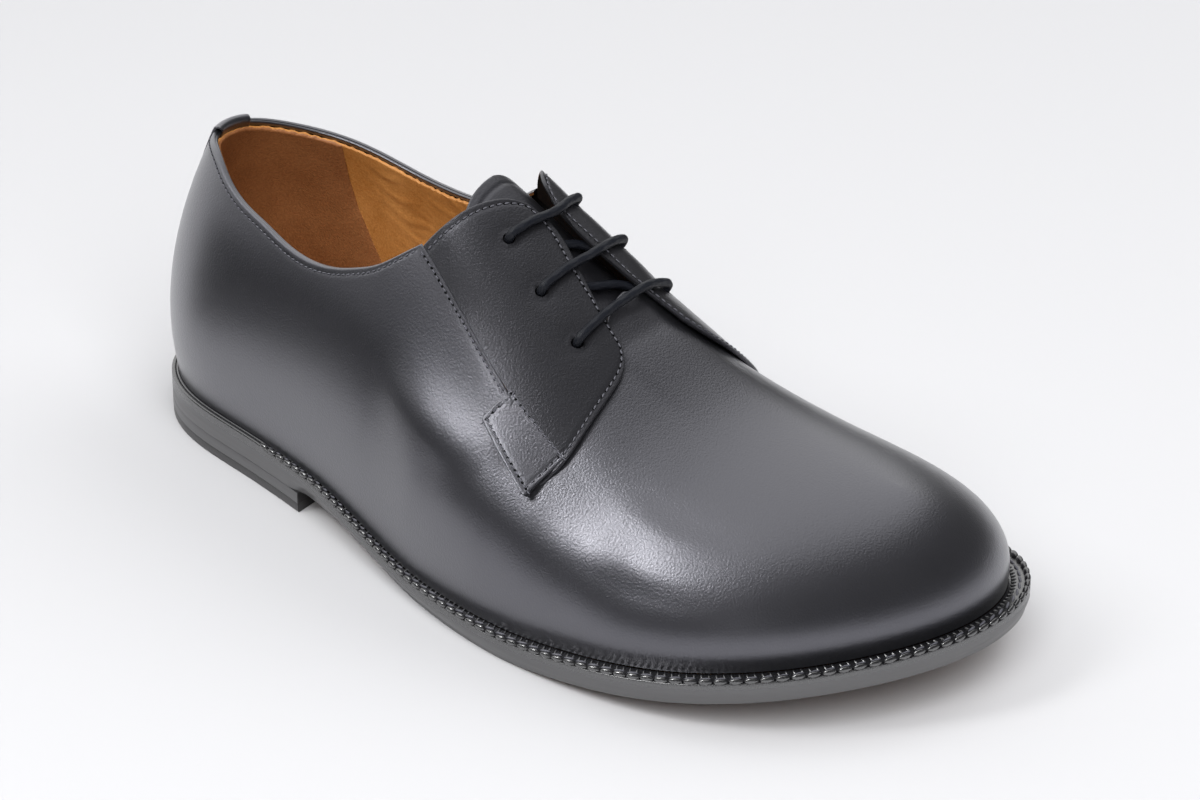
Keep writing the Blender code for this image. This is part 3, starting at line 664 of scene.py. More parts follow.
# Welt leather: black, waxed harder than the upper, so that each pressed edge catches the light.
WELT_GRAIN = 0.45
welt_leather, tree, shader = new_material("waxed_welt_leather", {
    "Base Color": colour("#151517"), "IOR": 1.8, "Specular IOR Level": 1.0})
place = node(tree, "ShaderNodeTexCoord").outputs["Object"]
millimetres = node(tree, "ShaderNodeMapping", {"Vector": place, "Scale": PER_METRE}).outputs[0]
grain = node(tree, "ShaderNodeTexNoise", {"Vector": millimetres, "Scale": 1 / WELT_GRAIN, "Detail": 4.0})
rough = node(tree, "ShaderNodeMapRange", {"Value": grain.outputs[0], "To Min": 0.16, "To Max": 0.34})
relief = node(tree, "ShaderNodeBump", {"Height": grain.outputs[0], "Strength": 0.35, "Distance": 0.00015})
connect(shader, {"Roughness": rough.outputs[0], "Normal": relief.outputs[0]})
welt = make_piece("welt", np.concatenate(welt_rings),
                  ring_faces(len(welt_rings), AROUND_COUNT, closed_section=True), (welt_leather,))
dress(welt, "welt_leather", "welt")


# Marks of the wheel on the welt: a row of studs on its rim, fine ribs across the shelf behind them,
# and the outsole's lockstitch between. All follow the rim, the ribs at half the studs' pitch.
def bead_row_tree():
    """Geometry nodes that set a round bead at every pitch of a path and realize the copies.

    The path's points carry their own upward direction in the attribute "up".
    """
    tree = bpy.data.node_groups.new("stitches_along_seam", "GeometryNodeTree")
    sockets = tree.interface
    sockets.new_socket("Path", in_out="INPUT", socket_type="NodeSocketGeometry")
    for label in ("Pitch", "Length", "Width", "Height", "Slant", "Jitter"):
        sockets.new_socket(label, in_out="INPUT", socket_type="NodeSocketFloat")
    sockets.new_socket("Finish", in_out="INPUT", socket_type="NodeSocketMaterial")
    sockets.new_socket("Pieces", in_out="OUTPUT", socket_type="NodeSocketGeometry")
    given = node(tree, "NodeGroupInput").outputs
    line = node(tree, "GeometryNodeMeshToCurve", {"Mesh": given["Path"]})
    spaced = node(tree, "GeometryNodeResampleCurve", {"Curve": line.outputs[0], "Length": given["Pitch"]},
                  mode="LENGTH")
    up = node(tree, "GeometryNodeInputNamedAttribute", {"Name": "up"}, data_type="FLOAT_VECTOR")
    tangent = node(tree, "GeometryNodeInputTangent")
    stand = node(tree, "FunctionNodeAxesToRotation", {"Primary Axis": up.outputs[0],
                                                      "Secondary Axis": tangent.outputs[0]},
                 primary_axis="Z", secondary_axis="X")
    less = node(tree, "ShaderNodeMath", {0: given["Jitter"], 1: -1.0}, operation="MULTIPLY")
    shake = node(tree, "FunctionNodeRandomValue", {"Min": less.outputs[0], "Max": given["Jitter"],
                                                   "Seed": 7}, data_type="FLOAT")
    angle = node(tree, "ShaderNodeMath", {0: given["Slant"], 1: shake.outputs[1]}, operation="ADD")
    swing = node(tree, "FunctionNodeAxisAngleToRotation", {"Axis": (0, 0, 1), "Angle": angle.outputs[0]})
    turned = node(tree, "FunctionNodeRotateRotation", {
        "Rotation": stand.outputs[0], "Rotate By": swing.outputs[0]}, rotation_space="LOCAL")
    bead = node(tree, "GeometryNodeMeshUVSphere", {"Segments": 10, "Rings": 8, "Radius": 0.5})
    size = node(tree, "ShaderNodeCombineXYZ", {"X": given["Length"], "Y": given["Width"],
                                               "Z": given["Height"]})
    copies = node(tree, "GeometryNodeInstanceOnPoints", {
        "Points": spaced.outputs[0], "Instance": bead.outputs["Mesh"],
        "Rotation": turned.outputs[0], "Scale": size.outputs[0]})
    real = node(tree, "GeometryNodeRealizeInstances", {"Geometry": copies.outputs[0]})
    smooth = node(tree, "GeometryNodeSetShadeSmooth", {"Geometry": real.outputs[0]})
    finished = node(tree, "GeometryNodeSetMaterial", {"Geometry": smooth.outputs[0],
                                                      "Material": given["Finish"]})
    node(tree, "NodeGroupOutput", {"Pieces": finished.outputs[0]})
    return tree


bead_tree = bead_row_tree()


def set_along(name, paths, finish, slot, pitch, size, slant=0.0, jitter=0.0):
    """Beads of one size along open paths of (points, upward directions), as one plain mesh."""
    mesh = bpy.data.meshes.new(name)
    points = np.concatenate([path for path, _ in paths])
    ups = np.concatenate([up for _, up in paths])
    edges = []
    start = 0
    for path, _ in paths:
        edges += [(start + i, start + i + 1) for i in range(len(path) - 1)]
        start += len(path)
    mesh.from_pydata(to_frame(points).tolist(), edges, [])
    upward = mesh.attributes.new("up", "FLOAT_VECTOR", "POINT")
    upward.data.foreach_set("vector", ups.astype(np.float32).ravel())
    row = bpy.data.objects.new(name, mesh)
    bpy.context.scene.collection.objects.link(row)
    maker = row.modifiers.new("row", "NODES")
    maker.node_group = bead_tree
    given = {"Slant": slant, "Jitter": jitter, "Finish": finish}
    for label, value in zip(("Pitch", "Length", "Width", "Height"), (pitch, *size)):
        given[label] = value * 0.001
    for socket in bead_tree.interface.items_tree:
        if socket.in_out == "INPUT" and socket.name in given:
            maker[socket.identifier] = given[socket.name]
    made = bpy.data.meshes.new_from_object(row.evaluated_get(bpy.context.evaluated_depsgraph_get()))
    row.modifiers.remove(maker)
    row.data = made
    bpy.data.meshes.remove(mesh)
    made.name = name
    return dress(row, slot)


def rim_path(inset, growth, height, start, count=900):
    """Path along the welt from waist to waist round the toe, deeper in where the shelf is wide."""
    u = np.linspace(rib_at(LATERAL, start), rib_at(MEDIAL, start), count)
    plan, outward = sole_edge(u, inset + growth * (shelf_at(u) - CHANNEL - 2.3))
    points = np.column_stack([plan, sole_bottom(plan[:, 0]) + WELT_FOOT + height])
    lean = np.column_stack([outward * 0.35, np.ones(count)])
    return points, lean / np.linalg.norm(lean, axis=1, keepdims=True)


set_along("welt_studs", [rim_path(0.85, 0.0, WELT - 1.15, STUD_START + 4)], welt_leather, "welt_leather",
          STUD_PITCH, (4.3, 1.75, 2.4), slant=0.08)
set_along("welt_ribs", [rim_path(1.9, 0.62, WELT - 1.5, STUD_START + 6)], welt_leather, "welt_leather",
          STUD_PITCH / 2, (0.9, 2.6, 0.8), slant=0.35)

# Thread: black linen, waxed, round and faintly shiny. Its tone is dark grey rather than black, partly as
# painted sheen for the light that the wax catches on each stitch.
waxed_thread = speckled("waxed_black_thread", grit=0.25, detail=2.0, tones=("#35353A", "#57575E"),
                        relief=(0.3, 0.0001), inputs={"Roughness": 0.38})
set_along("welt_lockstitch", [rim_path(1.8, 0.30, WELT - 1.2, STUD_START + 5)], waxed_thread, "lace_cotton",
          STUD_PITCH, (3.2, 0.8, 0.8), slant=0.22)


# Insole: a firm leather board inside the shoe, on which the upper is lasted. A sock of tan calf is glued
# over it, with its edge against the lining.
INSOLE_TOP = 3.0
INSOLE_ROOM = 0.7


CLOUD_SIZE = 16.0
FIBRE_SIZE = 0.6


def calf_lining(name, dark, light, nap):
    """Tan lining leather: undyed vegetable-tanned calf, cloudy in tone, with a nap of fine fibres."""
    material, tree, shader = new_material(name, {"Roughness": 0.52})
    place = node(tree, "ShaderNodeTexCoord").outputs["Object"]
    millimetres = node(tree, "ShaderNodeMapping", {"Vector": place, "Scale": PER_METRE}).outputs[0]
    cloud = node(tree, "ShaderNodeTexNoise", {"Vector": millimetres, "Scale": 1 / CLOUD_SIZE, "Detail": 5.0})
    fibre = node(tree, "ShaderNodeTexNoise", {"Vector": millimetres, "Scale": 1 / FIBRE_SIZE, "Detail": 4.0})
    both = node(tree, "ShaderNodeMath", {0: cloud.outputs[0], 1: fibre.outputs[0]}, operation="ADD")
    share = node(tree, "ShaderNodeMapRange", {"Value": both.outputs[0], "From Min": 0.7, "From Max": 1.3})
    tone = node(tree, "ShaderNodeMix", {"Factor": share.outputs[0], "A": colour(dark), "B": colour(light)},
                data_type="RGBA")
    relief = node(tree, "ShaderNodeBump", {"Height": fibre.outputs[0], "Strength": nap, "Distance": 0.0003})
    connect(shader, {"Base Color": tone.outputs[2], "Normal": relief.outputs[0]})
    return material


sock_leather = calf_lining("tan_sock_leather", "#9C6530", "#B97F44", 0.25)
inside = shelf_at(sole_shares) + INSOLE_ROOM
insole = slab_piece("insole", sole_shares, (
    (inside, over_bottom(OUTSOLE + GAP)),
    (inside, over_bottom(FEATHER_HEIGHT + INSOLE_TOP - 0.4)),
    (inside + 0.4, over_bottom(FEATHER_HEIGHT + INSOLE_TOP)),
), (sock_leather,))
dress(insole, "insole_leather", "insole")


# Upper: quarters and vamp cut in one piece of black box calf, lasted over the form and left to set.
# Its edge runs round the collar, down a straight seam behind each facing, and across the throat.
LEATHER_TOP = 2.2
LEATHER_FOOT = 1.05
EDGE_ROUND = 0.75
LAP = 0.42
COLLAR = (
    # x, outer rise, inner rise
    (4.5, 0.562, 0.562),
    (17.0, 0.540, 0.507),
    (30.0, 0.484, 0.467),
    (43.0, 0.431, 0.431),
    (56.0, 0.396, 0.396),
    (69.0, 0.368, 0.374),
    (82.0, 0.366, 0.374),
    (92.0, 0.388, 0.390),
    (101.0, 0.427, 0.427),
    (109.0, 0.481, 0.481),
    (118.0, 0.592, 0.592),
)
SEAM = (
    # x, rise
    (118.0, 0.592),
    (142.0, 0.558),
    (164.5, 0.514),
)
THROAT = (
    # rise, x
    (0.514, 164.5),
    (0.610, 174.5),
    (0.745, 180.5),
    (0.820, 178.0),
    (0.910, 172.0),
    (1.000, 169.0),
)
collar_rows = np.array(COLLAR)
collar_curve = spline(collar_rows[:, 0], collar_rows[:, 1:])
throat_curve = spline(*np.array(THROAT).T)
seam_x, seam_rise = np.array(SEAM).T

# Soft creases set in the leather, as troughs and ridges between two places on the last.
CREASES = (
    # side, from x, rise, to x, rise, half width above, half width below, height
    (LATERAL, 132.0, 0.290, 180.0, 0.250, 10.0, 19.0, 2.4),
    (LATERAL, 180.0, 0.250, 214.0, 0.290, 10.0, 19.0, 1.3),
    (LATERAL, 222.0, 0.300, 224.0, 0.500, 18.0, 18.0, 0.7),
    (LATERAL, 124.0, 0.275, 164.0, 0.355, 5.0, 6.0, 0.6),
    (LATERAL, 118.0, 0.440, 158.0, 0.455, 9.0, 8.0, -0.5),
    (LATERAL, 146.0, 0.215, 166.0, 0.300, 4.5, 5.5, -0.3),
    (MEDIAL, 128.0, 0.285, 170.0, 0.265, 10.0, 18.0, 1.2),
    (MEDIAL, 124.0, 0.290, 160.0, 0.360, 5.0, 6.0, 0.55),
    (MEDIAL, 132.0, 0.240, 160.0, 0.310, 5.0, 6.0, -0.35),
)
RISE_LENGTH = 100.0

# Front edge of each facing, under which the vamp lies pressed down.
FACING_FRONT = {
    # side: x, rise of each point
    LATERAL: ((182.0, 0.352), (187.9, 0.475), (189.3, 0.596),
              (189.4, 0.714), (187.2, 0.804), (182.5, 0.842)),
    MEDIAL: ((188.0, 0.352), (194.5, 0.475), (196.5, 0.596),
             (196.5, 0.714), (193.5, 0.815), (186.0, 0.890)),
}
RIDGE_FRONT = 184.0
RIDGE_RISES = (0.84, 0.98)
PRESSED = 1.7
PRESSED_REACH = 30.0
PRESSED_RISES = (0.32, 0.52)
SEAM_RIDE = 0.1
SEAM_RIDE_WIDTH = 10.0


def creases(side, place, rise):
    """Height of the creases over the smooth leather."""
    total = np.zeros(np.broadcast(place, rise).shape)
    for crease_side, x0, r0, x1, r1, above, below, height in CREASES:
        if crease_side != side:
            continue
        run = np.array([x1 - x0, (r1 - r0) * RISE_LENGTH])
        length = np.linalg.norm(run)
        run = run / length
        dx = place - x0
        dr = (rise - r0) * RISE_LENGTH
        along_it = (dx * run[0] + dr * run[1]) / length
        across = dx * -run[1] + dr * run[0]
        across = across / np.where(across * run[0] >= 0, above, below)
        fade = ramp(along_it, -0.25, 0.25) * ramp(along_it, 1.25, 0.75)
        total = total + height * np.exp(-across ** 2) * fade
    return total


def edge_rise(side, x):
    """Rise of the upper's edge on the rib at x: collar, then seam, then the level that meets the vamp."""
    column = 0 if side == LATERAL else 1
    collar = collar_curve(np.maximum(x, COLLAR[0][0]))[..., column]
    return np.where(x < seam_x[0], collar, np.interp(x, seam_x, seam_rise))


def grid_faces(rows, columns, start, turned):
    """Four-sided faces of a grid of points, turned over for the medial side."""
    r, c = np.meshgrid(np.arange(rows - 1), np.arange(columns - 1), indexing="ij")
    low = start + (r * columns + c).ravel()
    faces = np.stack([low, low + 1, low + columns + 1, low + columns], -1)
    return faces[:, ::-1] if turned else faces


def join_sheets(sheets):
    """One sheet from grids of (side, place, rise, extra values), welded where their points meet."""
    points, normals, values, faces = [], [], [], []
    start = 0
    for side, place, rise, extra in sheets:
        point, normal = on_last(side, place, rise, np.zeros(rise.shape))
        points.append(point.reshape(-1, 3))
        normals.append(normal.reshape(-1, 3))
        values.append(extra.reshape(-1, extra.shape[-1]))
        faces.append(grid_faces(*rise.shape, start, side == MEDIAL))
        start += rise.size
    points, normals, values, faces = (np.concatenate(part) for part in (points, normals, values, faces))
    keys = np.round(points * 500).astype(np.int64)
    _, first, place = np.unique(keys, axis=0, return_index=True, return_inverse=True)
    return points[first], normals[first], values[first], place.ravel()[faces]


def closed_shell(name, inner, outer, faces, materials, inner_slot=0, smooth_angle=60):
    """Leather between an inner and an outer sheet, closed along every border."""
    count = len(inner)
    ends = np.roll(faces, -1, axis=1)
    runs = np.stack([faces.ravel(), ends.ravel()], -1)
    runs = runs[runs[:, 0] != runs[:, 1]]
    codes = runs[:, 0] * count + runs[:, 1]
    border = runs[~np.isin(codes, runs[:, 1] * count + runs[:, 0])]
    walls = np.stack([border[:, 0], border[:, 1], border[:, 1] + count, border[:, 0] + count], -1)
    every = np.concatenate([faces + count, faces[:, ::-1], walls])
    slots = np.zeros(len(every), int)
    slots[len(faces):2 * len(faces)] = inner_slot
    clean = [tuple(dict.fromkeys(face)) for face in every.tolist()]
    keep = [i for i, face in enumerate(clean) if len(face) > 2]
    return make_piece(name, np.concatenate([inner, outer]), [clean[i] for i in keep], materials,
                      slots[keep], smooth_angle)


def seam_lift(place, gap):
    """How far the quarter's edge rides up where it laps over the facing behind the seam."""
    on_seam = ramp(place, 120, 160) * ramp(place, 166, 162)
    return SEAM_RIDE * on_seam * ramp(gap, SEAM_RIDE_WIDTH, 0)


def pressed(side, place, rise):
    """How far the vamp is pressed down under the facing and for a little way in front of it."""
    front_x, front_rise = np.array(FACING_FRONT[side]).T
    front = np.interp(rise, front_rise, front_x)
    front = front + (RIDGE_FRONT - front) * ramp(rise, *RIDGE_RISES)
    before = (1 - np.clip((place - front) / PRESSED_REACH, 0, 1)) ** 2
    tip = ramp(rise, 0.508, 0.520) * ramp(place, 163.5, 164.5)
    under = np.maximum(ramp(place, 166, 174), tip)
    return PRESSED * before * ramp(rise, *PRESSED_RISES) * under


def rounded(distance, radius):
    """How far a rounded edge drops at a distance in from the border."""
    left = radius - np.clip(distance, 0, radius)
    return radius - np.sqrt(np.maximum(radius ** 2 - left ** 2, 0))


def stitch_dent(distance, inset, depth=0.22, width=0.7):
    """Shallow furrow that a row of stitches pulls into the leather."""
    return -depth * np.exp(-((distance - inset) / width) ** 2)


SEAM_INSET = 2.1
REAR_INSET = 1.4
EDGE_STEPS = np.array([0, 0.12, 0.3, 0.55, 0.85, 1.2, 1.6, 2.0, 2.35, 2.7, 3.05, 3.4, 3.9, 4.5, 5.2])
BAND_ROWS = 46
VAMP_ROWS = 52
HEEL_TURN = 62.0
vamp_start = SEAM[-1][0]
vamp_length = TOE_X - vamp_start
vamp_shares = np.concatenate([np.array([0, 0.15, 0.4, 0.8, 1.4, 2.2]) / vamp_length,
                              np.sin(np.linspace(0.024, 1, 90) * np.pi / 2)])


def quarter_ribs(heel_count, side_count, end):
    """Places of ribs from the back of the heel, where they stand close together, forward to an end."""
    heel = HEEL_X + (HEEL_TURN - HEEL_X) * (1 - np.cos(np.linspace(0, np.pi / 2, heel_count)))
    return np.concatenate([heel, np.linspace(HEEL_TURN, end, side_count)[1:]])


upper_ribs = np.concatenate([
    quarter_ribs(48, 42, seam_x[0]),
    np.linspace(seam_x[0], vamp_start, 38)[1:],
    vamp_start + vamp_length * vamp_shares[1:],
])


def upper_sheets(ribs, shares, band_rows, edge_steps, vamp_rows, below=0.0):
    """Grids over both sides of the upper, with the distance to its edge, the relief and the rib."""
    sheets = []
    for side in SIDES:
        edge = edge_rise(side, ribs)
        per_mm = rise_per_mm(side, ribs, edge)
        edge = edge - below * per_mm * (ribs <= vamp_start)
        fine = edge[None] - edge_steps[::-1, None] * per_mm[None]
        coarse = np.linspace(0, 1, band_rows)[:-1, None] * fine[:1]
        rise = np.concatenate([coarse, fine])
        place = np.broadcast_to(ribs, rise.shape)
        gap = (edge[None] - rise) / per_mm[None]
        ahead = np.maximum(place - vamp_start, 0)
        gap = np.hypot(gap, ahead * 1.1)
        form = creases(side, place, rise) - pressed(side, place, rise) + seam_lift(place, gap)
        sheets.append((side, place, rise, np.stack([gap, form, place], -1)))
        rise = np.linspace(SEAM[-1][1], 1, vamp_rows)[:, None] * np.ones((1, len(shares)))
        start = throat_curve(rise)[..., 0]
        place = start + (TOE_X - start) * shares[None]
        gap = place - start
        form = creases(side, place, rise) - pressed(side, place, rise) + seam_lift(place, gap)
        sheets.append((side, place, rise, np.stack([gap, form, place], -1)))
    return sheets


# The pebble of real box calf is about 0.3 mm across. It is drawn twice as coarse, so that it shows.
GRAIN = 0.6
CALF_CLOUD = 12.0


def black_calf(name, shade, sheen, gloss):
    """Black box calf: the fine pebble of its grain breaks up the light, over a waxed satin finish."""
    material, tree, shader = new_material(name, {
        "IOR": 1.8, "Specular IOR Level": 0.75 * gloss, "Specular Tint": colour("#F0F0FF"),
        "Coat Weight": 0.9 * gloss, "Coat Roughness": 0.31})
    place = node(tree, "ShaderNodeTexCoord").outputs["Object"]
    millimetres = node(tree, "ShaderNodeMapping", {"Vector": place, "Scale": PER_METRE}).outputs[0]
    grain = node(tree, "ShaderNodeTexNoise", {"Vector": millimetres, "Scale": 1 / GRAIN,
                                              "Detail": 2.0, "Roughness": 0.55})
    cloud = node(tree, "ShaderNodeTexNoise", {"Vector": millimetres, "Scale": 1 / CALF_CLOUD, "Detail": 4.0})
    rough = node(tree, "ShaderNodeMapRange", {"Value": grain.outputs[0], "From Min": 0.3, "From Max": 0.7,
                                              "To Min": sheen - 0.015, "To Max": sheen + 0.015})
    relief = node(tree, "ShaderNodeBump", {"Height": grain.outputs[0], "Strength": 0.5, "Distance": 0.00016})
    tone = node(tree, "ShaderNodeMix", {"Factor": cloud.outputs[0], "A": colour(shade),
                                        "B": colour("#161618")}, data_type="RGBA")
    connect(shader, {"Base Color": tone.outputs[2], "Roughness": rough.outputs[0],
                     "Normal": relief.outputs[0], "Coat Normal": relief.outputs[0]})
    return material


upper_calf = black_calf("black_box_calf", "#111113", 0.36, 1.0)

# Flesh side: the back of the calf, dyed through and left unpolished, so that it stays dark and matt inside
# the upper. As the facings' backing, and where the lining is cut away under the facings, its near-black is
# painted shade, for the deep shade under each facing.
flesh_side_and_shade = new_material("black_flesh_side_and_painted_shade", {
    "Base Color": colour("#0D0D0E"), "Roughness": 0.85, "Specular IOR Level": 0.15})[0]
upper_grids = upper_sheets(upper_ribs, vamp_shares, BAND_ROWS, EDGE_STEPS, VAMP_ROWS)
points, normals, values, faces = join_sheets(upper_grids)
gap, form, rib = values.T
dent = stitch_dent(gap, np.where(rib < SEAM[0][0], SEAM_INSET, REAR_INSET), 0.14) * (rib < vamp_start)
edge_round = np.where(rib < SEAM[0][0], EDGE_ROUND, 0.35)
outer_level = LEATHER_TOP + form + dent - rounded(gap, edge_round)
lapped = ramp(gap, 9, 5) * (rib >= SEAM[0][0]) * (rib <= vamp_start)
lap_level = LEATHER_TOP + seam_lift(rib, gap) - LAP
inner_level = LEATHER_FOOT + lapped * (lap_level - LEATHER_FOOT)
inner_level = np.where(lapped > 0, inner_level, np.minimum(LEATHER_FOOT, outer_level - 0.3))
upper_outer = points + normals * outer_level[:, None]
upper_inner = points + normals * inner_level[:, None]
on_feather = np.abs(normals[:, 2]) < 1e-9
for sheet in (upper_outer, upper_inner):
    sheet[on_feather, 2] = sole_bottom(sheet[on_feather, 0]) + FEATHER_HEIGHT - 1.6
upper = closed_shell("upper", upper_inner, upper_outer, faces, (upper_calf, flesh_side_and_shade), inner_slot=1)
dress(upper, "upper_leather", "upper")


# Collar band: the upper's black calf, pared thin, turned over the top edge and pasted down inside.
# It shows as a narrow rim above the lining.
BAND_DEPTH = 1.7
collar_x = quarter_ribs(70, 70, seam_x[0] - 0.3)
band_steps = np.array([0.0, 0.08, 0.2, 0.35, 0.6, 0.9, 1.2, 1.5, BAND_DEPTH])
band_sheets = []
for side in SIDES:
    edge = edge_rise(side, collar_x)
    per_mm = rise_per_mm(side, collar_x, edge)
    rise = edge[None] - band_steps[::-1, None] * per_mm[None]
    place = np.broadcast_to(collar_x, rise.shape)
    depth = np.broadcast_to(band_steps[::-1, None], rise.shape)
    band_sheets.append((side, place, rise, depth[..., None]))
points, normals, values, faces = join_sheets(band_sheets)
depth = values[:, 0]
border = np.minimum(depth - band_steps[0], BAND_DEPTH - depth)
band_inner = points + normals * (0.1 + rounded(border, 0.35))[:, None]
band_outer = points + normals * (LEATHER_FOOT - 0.03 - rounded(border, 0.35))[:, None]
collar_band = closed_shell("collar_band", band_inner, band_outer, faces, (upper_calf,))
dress(collar_band, "upper_leather")


# Lining: tan calf inside the quarters, creased where it was pulled. Its raw edge stops just below the rim,
# and it is cut away under the facings. Round the heel a second piece, flesh side out, is stuck over it.
LINING = 0.8
LINING_DROP = 1.5
FACING_DROP = 16.0
HEEL_PIECE = 0.6
HEEL_FRONT = (
    # rise, x
    (0.050, 58.0),
    (0.150, 49.0),
    (0.206, 44.5),
    (0.274, 40.0),
    (0.353, 37.0),
    (0.460, 34.5),
)
lining_calf = calf_lining("tan_lining_calf", "#8F5A26", "#B57F46", 0.25)
lining_suede = calf_lining("tan_heel_suede", "#6A4024", "#8B5C38", 0.7)
lining_ribs = np.concatenate([
    quarter_ribs(60, 70, seam_x[0]),
    np.linspace(seam_x[0], vamp_start, 22)[1:],
    vamp_start + vamp_length * vamp_shares[1::3],
])
lining_steps = np.array([0, 0.15, 0.4, 0.8, 1.5, 2.5, 4.0])


def wrinkles(points):
    """Pulled creases of the lining, running forward and down below the edge, in front of the heel piece."""
    x, _, z = points.T
    slant = 2 * np.pi * (z + 0.33 * x + 1.6 * np.sin(x / 7.3) + 1.1 * np.sin(x / 3.1 + z / 5.0)) / 6.0
    wave = np.maximum(np.sin(slant), -0.2) ** 2 * (0.5 + 0.5 * np.sin(x / 5.0 + z / 8.0))
    fine = np.maximum(np.sin(1.83 * slant + 1.9 * np.sin(x / 6.0 + 1.0)), 0)
    fine = fine * (0.5 + 0.5 * np.sin(x / 3.7 - z / 6.0))
    where = ramp(x, 44, 56) * ramp(x, 128, 112) * ramp(z, 40, 58)
    return (0.3 * wave + 0.14 * fine) * where


def ragged(points):
    """Raw cut edge, a little torn."""
    x, y, _ = points.T
    return 0.16 * np.sin(x * 2.1) + 0.13 * np.sin(x * 5.3 + y) + 0.1 * np.sin(y * 3.7)


# Under the facings the lining is cut back, so that the upper's near-black flesh side shows in its place, as
# painted shade.
cut_back = LINING_DROP + FACING_DROP * ramp(lining_ribs, 115, 122)
lining_sheets = upper_sheets(lining_ribs, vamp_shares[::3], 60, lining_steps, 14, below=cut_back)
points, normals, values, faces = join_sheets(lining_sheets)
gap = values[:, 0]
raw_edge = (gap < 0.2) & (values[:, 2] < seam_x[0])
points = points + np.where(raw_edge, ragged(points), 0)[:, None] * (0, 0, 1)
lining_inner = points - normals * (LINING + wrinkles(points) - rounded(gap, 0.35))[:, None]
lining_outer = points - normals * 0.02
lining = closed_shell("lining", lining_inner, lining_outer, faces, (lining_calf,))
dress(lining, "insole_leather")

heel_sheets = []
front_rise, front_x = np.array(HEEL_FRONT).T
heel_rows = np.concatenate([np.linspace(0, 0.975, 40), [0.985, 0.993, 1.0]])[:, None]
heel_columns = np.concatenate([np.sin(np.linspace(0, 0.94, 50) * np.pi / 2), [0.997, 0.9988, 1.0]])[None]
for side in SIDES:
    front = np.interp(front_rise[0] + (front_rise[-1] - front_rise[0]) * heel_rows, front_rise, front_x)
    place = HEEL_X + (front - HEEL_X) * (1 - np.sqrt(1 - heel_columns ** 2))
    edge = edge_rise(side, place)
    top = edge - (LINING_DROP - 0.1) * rise_per_mm(side, place, edge)
    rise = front_rise[0] + (top - front_rise[0]) * heel_rows
    border = np.minimum((top - rise) / rise_per_mm(side, place, edge), front - place)
    heel_sheets.append((side, place, rise, border[..., None]))
points, normals, values, faces = join_sheets(heel_sheets)
border = values[:, 0]
points = points + np.where(border < 0.1, ragged(points), 0)[:, None] * (0, 0, 1)
heel_inner = points - normals * (LINING + HEEL_PIECE - rounded(border, 0.4))[:, None]
heel_outer = points - normals * (LINING - 0.05)
heel_lining = closed_shell("heel_lining", heel_inner, heel_outer, faces, (lining_suede,))
dress(heel_lining, "insole_leather")


# Back strip: a short strip of black calf, which covers the top of the back seam. It widens upward, and is
# turned over the rim and stuck down inside.
STRIP_TOP = 0.0155
STRIP_FOOT = 0.0095
STRIP_RISE = 0.33
STRIP_LEVEL = LEATHER_TOP - 0.05
STRIP = 0.8
STRIP_INSIDE = 3.2
STRIP_INNER_LEVEL = -0.4


def crowded(length, step, edge_steps=(0.0, 0.12, 0.3, 0.55, 0.85)):
    """Shares along a length, a step apart and closer beside both ends."""
    edge = np.array(edge_steps)
    middle = np.linspace(edge[-1], length - edge[-1], max(int(length / step), 4))
    return np.concatenate([edge[:-1], middle, (length - edge[:-1])[::-1]]) / length


def grid_gap(points):
    """Distance of each point of a grid to the grid's nearest border."""
    along_rows = np.linalg.norm(np.diff(points, axis=0), axis=-1)
    along_columns = np.linalg.norm(np.diff(points, axis=1), axis=-1)
    zero_row = np.zeros((1, points.shape[1]))
    zero_column = np.zeros((points.shape[0], 1))
    top = np.concatenate([zero_row, np.cumsum(along_rows, axis=0)])
    left = np.concatenate([zero_column, np.cumsum(along_columns, axis=1)], axis=1)
    return top, top[-1:] - top, left, left[:, -1:] - left


strip_columns = (crowded(21, 0.6) * 2 - 1)[None]
outside = crowded(34, 0.8)[:-4]
turn = np.linspace(0, np.pi, 15)[1:-1]
inside = np.array([0, 0.15, 0.35, 0.6, 0.8, 0.9, 0.95, 0.98, 1.0])
strip_reach = np.concatenate([outside, np.ones(len(turn) + len(inside))])[:, None]
half = STRIP_FOOT + (STRIP_TOP - STRIP_FOOT) * strip_reach
u = HEEL_START + half * strip_columns
place = sole_edge(u, shelf_at(u))[0][..., 0]
edge = np.where(strip_columns < 0, edge_rise(MEDIAL, place), edge_rise(LATERAL, place))
per_mm = rise_per_mm(LATERAL, HEEL_X + 2.0, 0.55)


def strip_sheet(outer_level, inner_level):
    """The strip's path up the back, over the rim and down inside, a level off the last on either side."""
    middle = (outer_level + inner_level) / 2
    radius = (outer_level - inner_level) / 2
    over = np.concatenate([0 * outside, radius * np.sin(turn), -STRIP_INSIDE * inside])[:, None]
    level = np.concatenate([0 * outside + outer_level, middle + radius * np.cos(turn),
                            0 * inside + inner_level])
    rise = STRIP_RISE + (edge - STRIP_RISE) * strip_reach + over * per_mm
    return last_point(u, rise), last_normal(u, rise), level[:, None] * np.ones(u.shape)


points, normals, level = strip_sheet(STRIP_LEVEL + STRIP, STRIP_INNER_LEVEL)
gap = np.minimum.reduce(grid_gap(points + normals * level[..., None]))
drop = rounded(gap, 0.45) * np.where(level > 0, 1, -0.5)
strip_outer = points + normals * (level - drop)[..., None]
points, normals, level = strip_sheet(STRIP_LEVEL, STRIP_INNER_LEVEL + 0.3)
strip_inner = points + normals * level[..., None]
faces = grid_faces(*u.shape, 0, False)
back_strip = closed_shell("back_strip", strip_inner.reshape(-1, 3), strip_outer.reshape(-1, 3), faces,
                          (upper_calf,))
dress(back_strip, "strip_leather", "back_strip")


